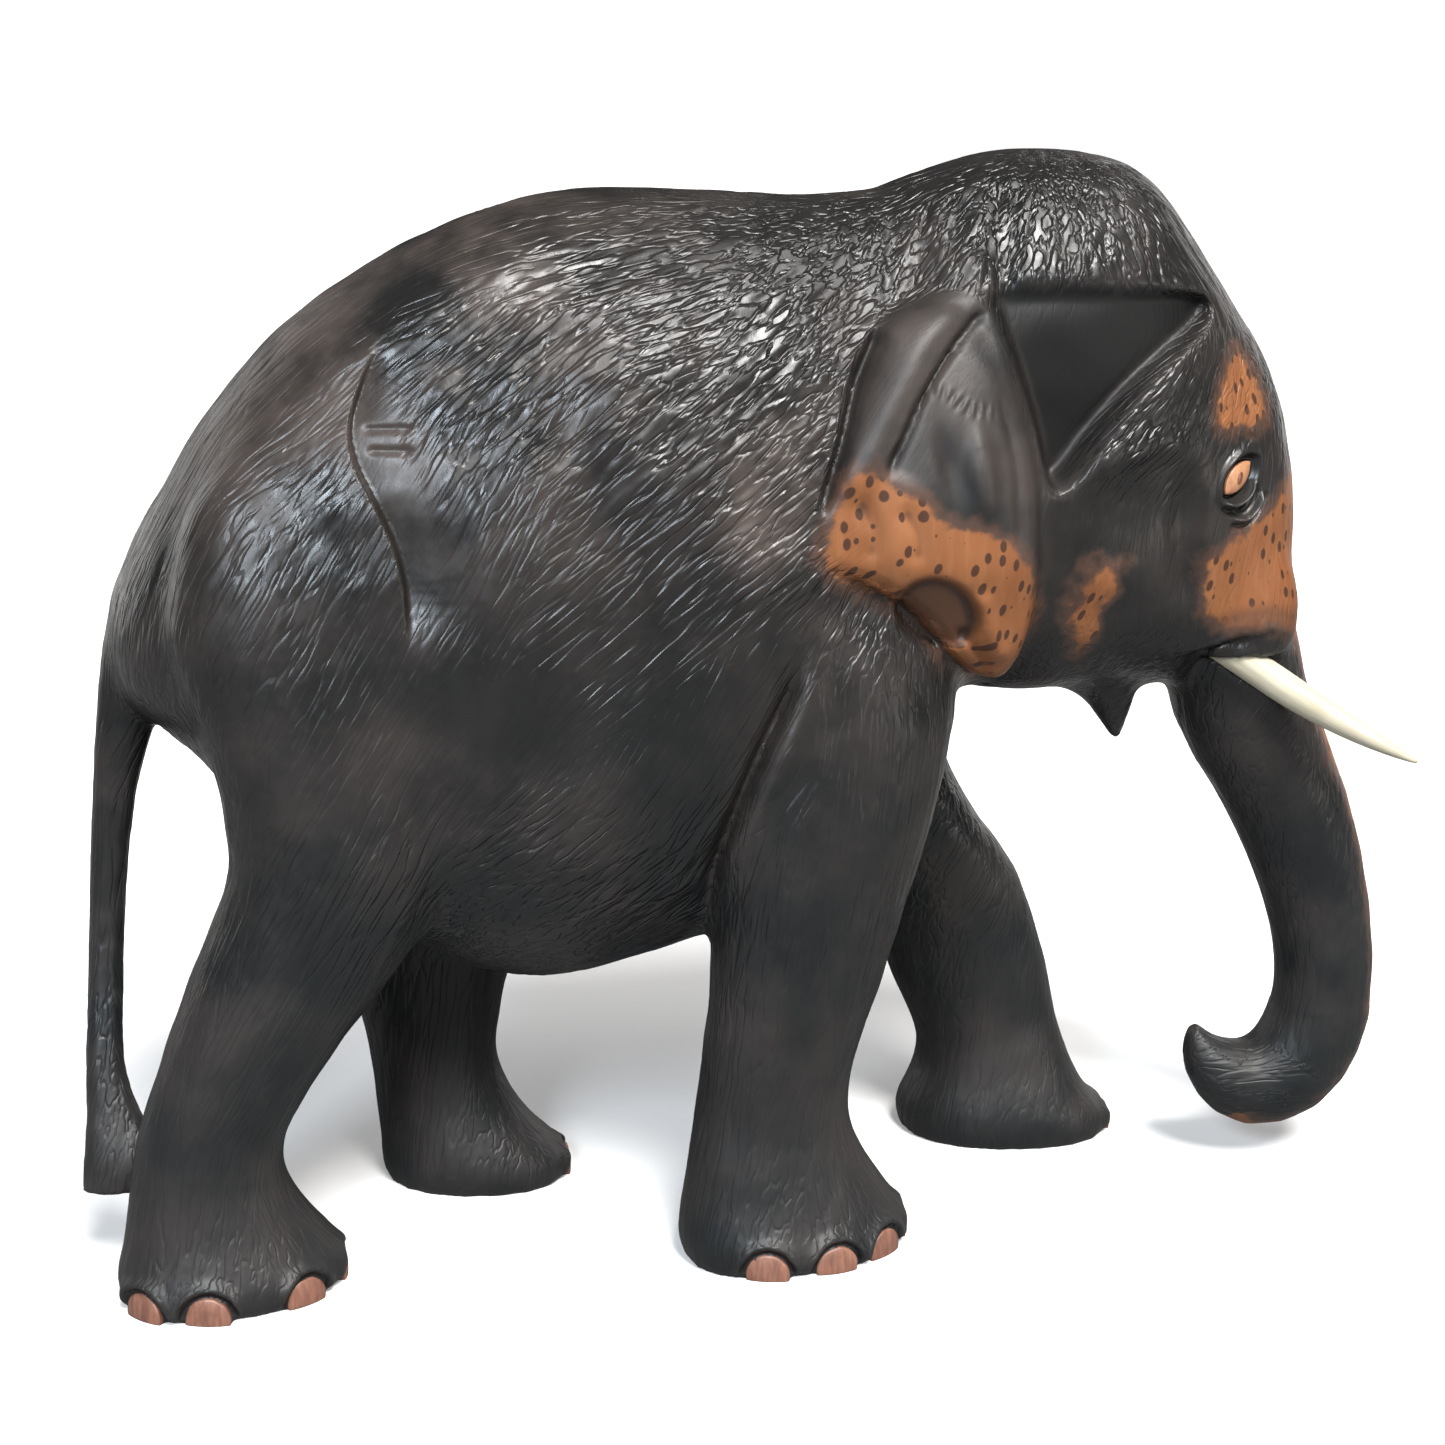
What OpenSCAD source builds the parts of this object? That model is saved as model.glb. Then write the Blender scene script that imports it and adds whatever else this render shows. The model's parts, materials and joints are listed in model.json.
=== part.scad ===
// Carved wooden elephant: a walking elephant cut from one block of dark wood,
// with push-fit tusks, inlaid eyes and inlaid toenails.
// Front of the elephant is +X, its left side is +Y, and it stands on Z = 0.

/* [Carving] */
// Overall height, from the soles to the crown of the head
overall_h = 299; // [200:5:400]
// Half width of the belly
belly_half_w = 59; // [52:1:64]
// Half width of the skull behind the temples
skull_half_w = 45; // [40:1:50]
// Facets around the torso and the head
facets_around = 28; // [20:2:36]
// Rings between two stations of the torso, head, trunk, legs and tail
rings_per_span = 2; // [1:1:3]

/* [Tusks] */
// Length of a tusk from its shoulder to its tip
tusk_len = 67; // [55:1:75]
// Diameter of a tusk at its root
tusk_root_d = 9.2; // [8:0.2:10]
// Diameter of the tenon that holds a tusk
tenon_d = 6.4; // [5:0.2:7]
// Length of the tenon
tenon_len = 14; // [8:1:15]
// Radial gap between a tenon and its socket
tenon_gap = 0.05; // [0.02:0.01:0.1]

/* [Eyes] */
// Length of the almond inlay
eye_len = 12.5; // [10:0.5:14]
// Height of the almond inlay
eye_h = 6.6; // [5:0.2:8]
// Diameter of the pupil
pupil_d = 2.4; // [1.8:0.2:3]

/* [Toenails] */
// Diameter of a toenail inlay
nail_d = 12.4; // [9:0.2:13]
// How far a toenail stands out of the foot
nail_proud = 0.4; // [0.2:0.1:1]
// How deep a toenail is let into the foot
nail_depth = 4; // [3:0.5:5]

/* [Hidden] */
DESIGN_H = 299;          // height at which every station below is measured
LENGTH_MIDDLE = 15.2;    // half way from the tail's back edge to the front of the trunk
DESIGN_BELLY = 59;
DESIGN_SKULL = 45;
size = overall_h / DESIGN_H;
wide = belly_half_w / DESIGN_BELLY;
skull = skull_half_w / DESIGN_SKULL;
leg_facets = 18;
trunk_facets = 18;
ear_facets = 20;
tail_facets = 12;
bore_facets = 48;
almond_facets = 96;
leg_fullness = 0.9;      // 1 is an ellipse, less is boxier
ear_fullness = 0.75;
tail_fullness = 0.8;
socket_spare = 0.5;      // empty end of a tusk socket, past the tenon
shoulder_gap = 0.2;      // between a tusk's shoulder and the mouth of its socket
mouth_gap = 0.4;         // around a tusk's root, so that it slides out freely
past_surface = 8;        // how far a pocket's cutter stands out of the wood
RIGHT = -1;
LEFT = 1;
WOOD = [0.10, 0.085, 0.075];
LIGHT_WOOD = [0.72, 0.50, 0.36];
IVORY = [0.93, 0.90, 0.80];
PUPIL_WOOD = [0.05, 0.04, 0.035];

// Torso, rump to chest: x, spine height, widest level, belly height, half width, fullness
TORSO = [
    [-158, 185, 171, 158, 12, 1],
    [-154, 193, 172, 154, 23, 1],
    [-147, 206, 173, 149, 33, 0.98],
    [-137, 223, 173, 140, 42, 0.96],
    [-124, 241, 172, 124, 49, 0.94],
    [-108, 257, 170, 106, 54, 0.92],
    [-87, 271, 168, 90, 57, 0.9],
    [-66, 281.5, 164, 77, 59, 0.9],
    [-44, 288, 161, 73, 60, 0.9],
    [-20, 290, 160, 78, 59, 0.9],
    [5, 289, 162, 85, 57, 0.9],
    [28, 287.5, 166, 98, 54, 0.9],
    [46, 288.5, 172, 116, 50, 0.9],
    [60, 289, 182, 134, 45, 0.9],
    [74, 284, 196, 154, 38, 0.9]
];
// Head, nape to brow: x, crown height, widest level, jaw height, half width, fullness
HEAD = [
    [40, 283, 216, 180, 34, 0.95],
    [52, 290, 217, 162, 41, 0.92],
    [66, 295, 218, 154, 45, 0.9],
    [80, 298.5, 218, 150, 46, 0.9],
    [97, 299, 217, 149, 45, 0.9],
    [114, 297, 215, 150, 42, 0.9],
    [125, 291, 213, 150, 39, 0.9],
    [134, 279, 210, 148.5, 36, 0.9],
    [143, 266, 207, 151, 32, 0.9],
    [152, 253.5, 204, 157, 28.5, 0.9],
    [160, 240.5, 200, 163, 24, 0.9],
    [166, 221, 194, 166, 17, 0.92],
    [169, 201, 188, 172, 9, 1]
];
// Trunk, brow to tip: x, z, half depth, half width
TRUNK = [
    [145, 194, 22, 24],
    [152.5, 168, 20, 22],
    [159, 143, 20, 20],
    [168.5, 125, 18.2, 18.5],
    [176, 109, 17.4, 17.5],
    [183, 91, 16.2, 16],
    [188, 72, 15.2, 15],
    [189.5, 54, 15, 14.5],
    [187, 39, 15.6, 14.2],
    [179, 27.5, 15.4, 13.8],
    [167.5, 24.5, 14, 12.5],
    [158, 29, 10.5, 10.5],
    [152, 36, 6, 7],
    [149.5, 43, 1.6, 2.6]
];
// Lower jaw and its pointed lip: x, z, half depth, half width
JAW = [
    [84, 180, 26, 28],
    [97, 171, 20, 25],
    [108, 162, 15, 20],
    [117.5, 152, 10.5, 13],
    [120.5, 142, 6, 7],
    [122, 132, 1, 1.6]
];
// Legs from the sole up: z, back x, front x, inner y, outer y
FRONT_RIGHT_LEG = [
    [0, -10, 51, 15, 58],
    [6, -13, 54, 12, 61],
    [14, -12, 49, 14, 58],
    [25, -10, 42, 17, 55],
    [39, -8, 36.5, 19, 53],
    [54, -6, 38, 18, 54],
    [72, -4, 43.5, 16, 56],
    [92, -3, 50, 13, 58],
    [114, 0, 57, 10, 59],
    [136, 5, 63, 8, 58],
    [162, 13, 67, 6, 55],
    [188, 22, 66, 5, 50],
    [212, 32, 58, 5, 42]
];
FRONT_LEFT_LEG = [
    [0, 71, 132, 15, 58],
    [6, 68, 135, 12, 61],
    [14, 71, 127, 14, 58],
    [25, 75, 121, 17, 55],
    [37, 72.5, 117, 19, 53],
    [50, 66, 114, 18, 54],
    [68, 61, 109, 16, 56],
    [86, 54, 102, 13, 57],
    [103, 47, 90, 10, 58],
    [122, 38, 79, 8, 58],
    [149, 27, 72, 6, 55],
    [179, 24, 66, 5, 50],
    [208, 28, 58, 5, 42]
];
HIND_RIGHT_LEG = [
    [0, -162, -106, 15, 58],
    [6, -165, -102, 12, 61],
    [14, -163, -108, 14, 58],
    [25, -161, -116, 17, 55],
    [38, -159, -119, 18, 54],
    [50, -156, -114, 17, 55],
    [64, -151, -105, 15, 56],
    [80, -145, -92, 12, 57],
    [100, -137, -76, 8, 58],
    [120, -130, -64, 6, 59],
    [150, -135, -56, 5, 58],
    [180, -144, -58, 5, 55],
    [212, -136, -68, 5, 48],
    [236, -118, -80, 5, 36]
];
HIND_LEFT_LEG = [
    [0, -89, -37, 9, 51],
    [6, -91, -34, 6, 54],
    [14, -91, -43, 8, 51],
    [25, -92, -51, 11, 49],
    [38, -93, -56, 12, 49],
    [52, -96, -54, 12, 51],
    [68, -101, -50, 11, 54],
    [86, -109, -46, 9, 57],
    [108, -120, -44, 7, 59],
    [136, -132, -46, 6, 59],
    [166, -138, -52, 5, 56],
    [200, -138, -62, 5, 50],
    [232, -120, -80, 5, 37]
];
// Tail from its cut end up: z, back x, front x, then its right and left faces in y
TAIL = [
    [23, -174, -146, -26, -15],
    [32, -173, -149, -25, -13],
    [42, -172, -156, -21, -10],
    [56, -171.5, -160.5, -16, -5],
    [78, -170, -160, -9, 2],
    [102, -168.5, -158, -6, 6],
    [130, -166, -154, -6, 6],
    [152, -164, -147, -7, 7],
    [174, -161, -140, -8, 8],
    [194, -154.5, -134, -8, 8],
    [210, -146, -128, -6, 6]
];
// Ear in relief, bottom tip to top: z, back x, front x, depth of its root, outer face
EAR = [
    [161, 71, 77, 30, 43],
    [168, 62, 81, 30, 48],
    [179, 53, 83, 30, 52],
    [188, 40, 84, 30, 55],
    [197, 28, 84, 30, 57],
    [216, 28, 82, 30, 56],
    [232, 31, 79, 30, 53],
    [247, 34, 73, 28, 49],
    [256, 39, 69, 26, 45],
    [262, 56, 66, 24, 39]
];

// Swelling round a tusk's root, from its flat underside up: z, back x, front x, inner y, outer y
SHEATH = [
    [160.5, 137, 165, 6, 26.5],
    [162.5, 135, 167, 6, 28],
    [168, 134, 168, 6, 29],
    [178, 135, 168, 6, 28.5],
    [190, 138, 164, 6, 26]
];

// Place of a tusk's shoulder on the right side, and the way the tusk points
TUSK_ROOT = [142.6, -18.9, 164.9];
tusk_splay = 18;
tusk_droop = 33;
tusk_bow = 3.5;          // how far the tip bends up from a straight line
tusk_straight = 22;      // straight stretch next to the root
tusk_sides = 20;
tusk_bends = 10;

// Place of the right eye, and the way it faces
EYE_PLACE = [143.5, -31, 212];
eye_turn = 26;           // forward from straight out
eye_tilt = 42;           // of the almond, its front corner up
eye_depth = 4;
eye_proud = 0.8;
pupil_depth = 2.5;
pupil_proud = 0.35;

toe_in = 0.12;           // sideways run of a foot towards the middle, for each mm forward
nail_height = 1.4;       // of a toenail's centre above the sole
nail_level = 4.4;        // height at which the foot's outline places the toenails
nail_dome = 1.2;         // height of the rounded face
FRONT_NAIL_ANGLES = [-21, 15, 48, 90];
HIND_NAIL_ANGLES = [-52, -13, 40, 90];
NAILS_PER_FOOT = len(FRONT_NAIL_ANGLES);
// Each foot: name, its leg, its side, the angles of its toenails
FEET = [
    ["front_right", FRONT_RIGHT_LEG, RIGHT, FRONT_NAIL_ANGLES],
    ["front_left", FRONT_LEFT_LEG, LEFT, FRONT_NAIL_ANGLES],
    ["hind_right", HIND_RIGHT_LEG, RIGHT, HIND_NAIL_ANGLES],
    ["hind_left", HIND_LEFT_LEG, LEFT, HIND_NAIL_ANGLES]
];

function nail_name(foot, i) = str("toenail_", foot[0], "_", i + 1);

// ---- curves and rings ----

// Point at t between b and c on a smooth curve through a, b, c and d
function smooth_between(a, b, c, d, t) =
    0.5 * (2 * b + (c - a) * t + (2 * a - 5 * b + 4 * c - d) * t * t + (3 * b - a - 3 * c + d) * t * t * t);

// The stations, with rings_per_span rows to a span
function smooth_rows(stations) =
    let (last = len(stations) - 1)
    [for (step = [0 : last * rings_per_span])
        let (i = min(floor(step / rings_per_span), last - 1), t = step / rings_per_span - i)
        smooth_between(
            stations[max(i - 1, 0)], stations[i], stations[i + 1], stations[min(i + 2, last)], t)];

// Sine or cosine raised to a power, which makes a ring fuller (under 1) or leaner (over 1)
function bulge(v, power) = sign(v) * pow(abs(v), power);

// Upright ring across X
function cross_ring(row, widen) =
    [for (s = [0 : facets_around - 1])
        let (a = 360 * s / facets_around, rise = bulge(sin(a), row[5]),
            top = row[1], mid = row[2], low = row[3])
        [row[0], widen * row[4] * bulge(cos(a), row[5]), mid + rise * (rise > 0 ? top - mid : mid - low)]];

// Level ring of a column that stands on one side of the body
function level_ring(row, side, facets, fullness, turn_in = 0) =
    let (cx = (row[1] + row[2]) / 2, rx = (row[2] - row[1]) / 2,
        cy = (row[3] + row[4]) / 2, ry = (row[4] - row[3]) / 2)
    [for (s = [0 : facets - 1])
        let (a = 360 * s / facets,
            ahead = rx * bulge(cos(a), fullness), across = ry * bulge(sin(a), fullness))
        [cx + ahead, side * (cy - turn_in * ahead) + across, row[0]]];

// Ring square to a path in the XZ plane
function path_ring(rows, i, facets) =
    let (ahead = rows[min(i + 1, len(rows) - 1)], behind = rows[max(i - 1, 0)],
        run = [ahead[0] - behind[0], ahead[1] - behind[1]], way = run / norm(run), row = rows[i])
    [for (s = [0 : facets - 1])
        let (a = 360 * s / facets, out = row[2] * sin(a))
        [row[0] - way[1] * out, row[3] * cos(a), row[1] + way[0] * out]];

// Closed solid through rings that run counter-clockwise as seen from its far end
module loft(rings) {
    n = len(rings[0]);
    last = len(rings) - 1;
    points = [for (ring = rings) each ring];
    walls = [for (r = [0 : last - 1], s = [0 : n - 1])
        let (here = r * n + s, beside = r * n + (s + 1) % n)
        each [[here, here + n, beside + n], [here, beside + n, beside]]];
    first_cap = [for (s = [0 : n - 1]) s];
    last_cap = [for (s = [n - 1 : -1 : 0]) last * n + s];
    polyhedron(points, concat([first_cap], walls, [last_cap]));
}

// ---- forms of the carving ----

module torso_form() { loft([for (row = smooth_rows(TORSO)) cross_ring(row, wide)]); }

module head_form() { loft([for (row = smooth_rows(HEAD)) cross_ring(row, skull)]); }

module path_form(stations) {
    rows = smooth_rows(stations);
    loft([for (i = [0 : len(rows) - 1]) path_ring(rows, i, trunk_facets)]);
}

module leg_form(foot) {
    loft([for (row = smooth_rows(foot[1])) level_ring(row, foot[2], leg_facets, leg_fullness, toe_in)]);
}

module ear_form(side) {
    loft([for (row = smooth_rows(EAR)) level_ring(row, side, ear_facets, ear_fullness)]);
}

module sheath_form(side) {
    loft([for (row = smooth_rows(SHEATH)) level_ring(row, side, leg_facets, leg_fullness)]);
}

module tail_form() {
    loft([for (row = smooth_rows(TAIL)) level_ring(row, LEFT, tail_facets, tail_fullness)]);
}

// Everything that is cut from the one block, as one continuous skin
module whole_form() {
    resize([0, 0, 0]) union() {
        torso_form();
        head_form();
        path_form(TRUNK);
        path_form(JAW);
        tail_form();
        for (foot = FEET) leg_form(foot);
        for (side = [RIGHT, LEFT]) {
            ear_form(side);
            sheath_form(side);
        }
    }
}

// ---- places of the inlaid and pushed-in pieces ----

// From the stations' frame to the part's own: centred lengthways, at the wanted size
module placed() { scale(size) translate([-LENGTH_MIDDLE, 0, 0]) children(); }

// Puts a right-side piece on the given side
module on_side(side) {
    if (side == RIGHT) children();
    else mirror([0, 1, 0]) children();
}

// +Z of the children becomes the way the tusk points, from the mouth of its socket
module at_tusk(side) {
    on_side(side) translate(TUSK_ROOT) rotate([0, 90 + tusk_droop, -tusk_splay]) children();
}

// +Z of the children becomes the way the eye faces
module at_eye(side) {
    on_side(side) translate(EYE_PLACE) rotate([90, 0, eye_turn]) children();
}

// +Z of the children becomes the way toenail i of a foot faces, on the surface of that foot
module at_nail(foot, i) {
    function level(column) = lookup(nail_level, [for (row = foot[1]) [row[0], row[column]]]);
    rx = (level(2) - level(1)) / 2;
    ry = (level(4) - level(3)) / 2;
    a = foot[3][i];
    ahead = rx * sin(a);
    place = [level(1) + rx + ahead, foot[2] * (level(3) + ry * (1 + cos(a)) - toe_in * ahead), nail_height];
    translate(place) rotate([0, 90, atan2(foot[2] * cos(a) / ry, sin(a) / rx)]) children();
}

// ---- sockets ----

module tusk_socket(side) {
    at_tusk(side) {
        translate([0, 0, -tenon_len - socket_spare])
            cylinder(h = tenon_len + socket_spare + 1, d = tenon_d + 2 * tenon_gap, $fn = bore_facets);
        cylinder(h = tusk_straight, d = tusk_root_d + 2 * mouth_gap, $fn = bore_facets);
    }
}

module almond(length, height) {
    // Two arcs that meet at the corners of the eye
    r = (length * length + height * height) / (4 * height);
    intersection_for(up = [-1, 1]) translate([0, up * (r - height / 2)]) circle(r = r, $fn = almond_facets);
}

module eye_blank(h) { rotate(eye_tilt) linear_extrude(height = h) almond(eye_len, eye_h); }

module eye_pocket(side) {
    at_eye(side) translate([0, 0, -eye_depth]) eye_blank(eye_depth + past_surface);
}

module nail_pocket(foot, i) {
    at_nail(foot, i) translate([0, 0, -nail_depth])
        cylinder(h = nail_depth + past_surface, d = nail_d, $fn = bore_facets);
}

// ---- the pieces ----

module carved_body() {
    color(WOOD) placed() difference() {
        whole_form();
        for (side = [RIGHT, LEFT]) {
            tusk_socket(side);
            eye_pocket(side);
        }
        for (foot = FEET, i = [0 : NAILS_PER_FOOT - 1]) nail_pocket(foot, i);
    }
}

// Tapered, slightly bowed horn on a round tenon
module tusk(side) {
    reach = tusk_len - tusk_straight;
    tip_r = 0.5;
    overlap = 3;         // of the tenon and the horn
    root_ring = tusk_ring(tusk_root_d / 2, 0, shoulder_gap);
    rings = [for (i = [0 : tusk_bends])
        let (t = i / tusk_bends, r = tip_r + (tusk_root_d / 2 - tip_r) * pow(1 - pow(t, 1.7), 0.8))
        tusk_ring(r, tusk_bow * t * t, tusk_straight + reach * t)];
    color(IVORY) placed() at_tusk(side) {
        translate([0, 0, -tenon_len]) cylinder(h = tenon_len + overlap, d = tenon_d, $fn = bore_facets);
        loft(concat([root_ring], rings));
    }
}

function tusk_ring(r, bow, along) =
    [for (s = [0 : tusk_sides - 1])
        let (a = 360 * s / tusk_sides)
        [r * cos(a) - bow, r * sin(a), along]];

module eye(side) {
    color(LIGHT_WOOD) placed() at_eye(side) difference() {
        translate([0, 0, -eye_depth]) eye_blank(eye_depth + eye_proud);
        translate([0, 0, eye_proud - pupil_depth])
            cylinder(h = pupil_depth + 1, d = pupil_d, $fn = bore_facets);
    }
}

module pupil(side) {
    color(PUPIL_WOOD) placed() at_eye(side) translate([0, 0, eye_proud - pupil_depth])
        cylinder(h = pupil_depth + pupil_proud, d = pupil_d, $fn = bore_facets);
}

module below_the_sole() {
    translate([-DESIGN_H, -DESIGN_H / 2, -DESIGN_H]) cube([2 * DESIGN_H, DESIGN_H, DESIGN_H]);
}

// Round peg with a domed face, cut off level with the sole
module toenail(foot, i) {
    color(LIGHT_WOOD) placed() difference() {
        at_nail(foot, i) translate([0, 0, -nail_depth]) nail_peg();
        below_the_sole();
    }
}

module nail_peg() {
    straight = nail_depth + nail_proud - nail_dome;
    sphere_r = (nail_d * nail_d / 4 + nail_dome * nail_dome) / (2 * nail_dome);
    intersection() {
        cylinder(h = nail_depth + nail_proud, d = nail_d, $fn = bore_facets);
        translate([0, 0, straight + nail_dome - sphere_r]) sphere(r = sphere_r, $fn = bore_facets);
    }
}

carved_body();
tusk(RIGHT);  // tusk_right
tusk(LEFT);  // tusk_left
eye(RIGHT);  // eye_right
eye(LEFT);  // eye_left
pupil(RIGHT);  // pupil_right
pupil(LEFT);  // pupil_left
for (foot = FEET, i = [0 : NAILS_PER_FOOT - 1])
    toenail(foot, i);
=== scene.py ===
"""The looks of a carved wooden elephant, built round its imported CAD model.

One skin is drawn over the carved body, relaxed, carved with its folds and hollows, cut with gouge
strokes and marked with bare and stained wood. Tusks, eyes, pupils and toenails are pieces of their
own. All shaping is in millimetres, and the finished meshes are in metres.
"""
import json
import math
from contextlib import contextmanager

import bmesh
import bpy
import numpy as np
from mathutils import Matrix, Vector
from mathutils.kdtree import KDTree


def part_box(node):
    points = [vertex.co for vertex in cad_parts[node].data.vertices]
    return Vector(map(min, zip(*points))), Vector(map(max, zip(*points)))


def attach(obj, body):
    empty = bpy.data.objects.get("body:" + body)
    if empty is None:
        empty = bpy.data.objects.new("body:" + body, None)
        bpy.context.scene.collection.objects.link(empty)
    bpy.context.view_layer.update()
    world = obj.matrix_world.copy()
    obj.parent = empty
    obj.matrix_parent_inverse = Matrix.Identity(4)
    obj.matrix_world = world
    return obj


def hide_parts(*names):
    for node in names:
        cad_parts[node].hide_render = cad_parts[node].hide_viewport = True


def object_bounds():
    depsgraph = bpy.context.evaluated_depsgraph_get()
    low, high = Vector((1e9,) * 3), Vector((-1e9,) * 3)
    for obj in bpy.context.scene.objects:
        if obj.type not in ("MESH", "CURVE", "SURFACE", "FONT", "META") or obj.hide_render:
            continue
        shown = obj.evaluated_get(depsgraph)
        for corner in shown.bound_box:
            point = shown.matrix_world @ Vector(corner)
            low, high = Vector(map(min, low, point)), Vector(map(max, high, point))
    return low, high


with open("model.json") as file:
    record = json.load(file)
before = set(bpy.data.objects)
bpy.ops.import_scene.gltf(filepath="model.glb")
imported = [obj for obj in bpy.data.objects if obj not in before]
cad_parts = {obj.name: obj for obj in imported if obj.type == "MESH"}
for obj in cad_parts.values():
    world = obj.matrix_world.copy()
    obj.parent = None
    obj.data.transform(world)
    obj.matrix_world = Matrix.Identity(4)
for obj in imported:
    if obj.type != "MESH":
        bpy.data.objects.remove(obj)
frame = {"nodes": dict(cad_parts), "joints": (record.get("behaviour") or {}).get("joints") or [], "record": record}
cad_box = [list(corner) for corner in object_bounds()]

MM = 0.001
RIGHT, LEFT = -1, 1
SIDES = {"right": RIGHT, "left": LEFT}
FEET = ("front_right", "front_left", "hind_right", "hind_left")
NAILS = [(foot, number) for foot in FEET for number in (1, 2, 3, 4)]
SEED = 11


def add_object(name, data):
    made = bpy.data.objects.new(name, data)
    bpy.context.scene.collection.objects.link(made)
    return made


def look_along(thing, way):
    """Turns a camera or a lamp to look a way."""
    thing.rotation_euler = way.to_track_quat("-Z", "Y").to_euler()


# ---- the camera, first ----

CAMERA_AZIMUTH, CAMERA_ELEVATION = math.radians(-10), math.radians(14)
CAMERA_DISTANCE = 0.7
CAMERA_LENS = 66.0
AIM_FROM_MIDDLE = Vector((-0.0152, -0.040, 0.0025))


def make_camera():
    low, high = Vector(cad_box[0]), Vector(cad_box[1])
    aim = (low + high) / 2 + AIM_FROM_MIDDLE
    flat = Vector((math.sin(CAMERA_AZIMUTH), -math.cos(CAMERA_AZIMUTH), 0))
    back = math.cos(CAMERA_ELEVATION) * flat + Vector((0, 0, math.sin(CAMERA_ELEVATION)))
    camera = add_object("camera", bpy.data.cameras.new("camera"))
    camera.data.lens = CAMERA_LENS
    camera.location = aim + CAMERA_DISTANCE * back
    look_along(camera, -back)
    bpy.context.scene.camera = camera


# ---- small tools ----

FAR = 1000.0
UP = np.array([0, 0, 1.0])


def ease(low, high, value):
    """0 before low, 1 after high, and an S between them. With low above high it falls."""
    t = np.clip((value - low) / (high - low), 0, 1)
    return t * t * (3 - 2 * t)


def bell(distance, width):
    """1 at no distance, falling to 0 over about twice the width."""
    return np.exp(-((distance / width) ** 2))


def flowing(points, closed=False, steps=6):
    """A smooth curve through the points, as a polyline."""
    p = np.array(points, float)
    n = len(p)
    ends = n if closed else n - 1
    made = []
    for i in range(ends):
        around = [(i + k) % n if closed else min(max(i + k, 0), n - 1) for k in (-1, 0, 1, 2)]
        a, b, c, d = p[around]
        for t in np.arange(steps) / steps:
            made.append(b + t * (c - a) / 2 + t ** 2 * (a - 2.5 * b + 2 * c - d / 2)
                        + t ** 3 * (1.5 * (b - c) + (d - a) / 2))
    if not closed:
        made.append(p[-1])
    return np.array(made)


def to_line(flat, line, reach=40.0):
    """For each point: its distance to a polyline, how far along it that is (0 to 1), and its side.

    The side is 1 on the left of the way the line runs and -1 on the right. Points further off than
    reach get a far distance.
    """
    distance = np.full(len(flat), FAR)
    along = np.zeros(len(flat))
    hand = np.zeros(len(flat))
    near = ((flat > line.min(0) - reach) & (flat < line.max(0) + reach)).all(1)
    chosen = flat[near]
    best, where, turn = (np.full(len(chosen), v) for v in (FAR, 0.0, 0.0))
    lengths = np.linalg.norm(np.diff(line, axis=0), axis=1)
    done = 0.0
    for a, b, length in zip(line[:-1], line[1:], lengths):
        way = (b - a) / max(length, 1e-9)
        off = chosen - a
        t = np.clip(off @ way, 0, length)
        gap = np.linalg.norm(off - t[:, None] * way, axis=1)
        closer = gap < best
        best[closer] = gap[closer]
        where[closer] = done + t[closer]
        turn[closer] = np.sign(way[0] * off[closer, 1] - way[1] * off[closer, 0])
        done += length
    distance[near], along[near], hand[near] = best, where / done, turn
    return distance, along, hand


def depth_inside(flat, outline):
    """Distance to a closed outline, positive inside it."""
    ring = np.vstack([outline, outline[:1]])
    inside = np.zeros(len(flat), bool)
    for (ax, az), (bx, bz) in zip(ring[:-1], ring[1:]):
        if az != bz:
            crossing = (az > flat[:, 1]) != (bz > flat[:, 1])
            inside ^= crossing & (flat[:, 0] < ax + (flat[:, 1] - az) * (bx - ax) / (bz - az))
    return np.where(inside, 1, -1) * to_line(flat, ring)[0]


def in_oval(flat, centre, radii, turn):
    """Distance from an oval's centre as a share of its radii."""
    a = math.radians(turn)
    off = flat - np.array(centre)
    u = off[:, 0] * math.cos(a) + off[:, 1] * math.sin(a)
    v = -off[:, 0] * math.sin(a) + off[:, 1] * math.cos(a)
    return np.hypot(u / radii[0], v / radii[1])


def fade_ends(along, share=0.2):
    """0 at both ends of a line and 1 over its middle."""
    return ease(0, share, along) * ease(1, 1 - share, along)


def turned(points, angle):
    """Flat points, turned anticlockwise."""
    c, s = math.cos(angle), math.sin(angle)
    return points @ np.array([[c, s], [-s, c]])


def mesh_points(mesh):
    """The places of a mesh's vertices, in millimetres."""
    co = np.empty(len(mesh.vertices) * 3, np.float32)
    mesh.vertices.foreach_get("co", co)
    return co.reshape(-1, 3).astype(float) / MM


def mesh_triangles(mesh):
    mesh.calc_loop_triangles()
    corners = np.empty(len(mesh.loop_triangles) * 3, np.int32)
    mesh.loop_triangles.foreach_get("vertices", corners)
    return corners.reshape(-1, 3)


def node_points(name):
    return mesh_points(frame["nodes"][name].data)


@contextmanager
def edited(mesh):
    """Opens a mesh for editing and writes it back."""
    bm = bmesh.new()
    bm.from_mesh(mesh)
    yield bm
    bm.to_mesh(mesh)
    bm.free()


def mark_points(mesh, name, values):
    """Stores one value a point, for a material to read."""
    layer = mesh.attributes.new(name, "FLOAT", "POINT")
    layer.data.foreach_set("value", np.array(values, np.float32))


def add_piece(name, mesh, material, body, stands_for=()):
    piece = add_object(name, mesh)
    mesh.materials.clear()
    mesh.materials.append(material)
    mesh.polygons.foreach_set("use_smooth", [True] * len(mesh.polygons))
    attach(piece, body)
    if stands_for:
        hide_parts(*stands_for)
    return piece


# ---- where the inlays and tusks sit, from the frame ----

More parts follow.
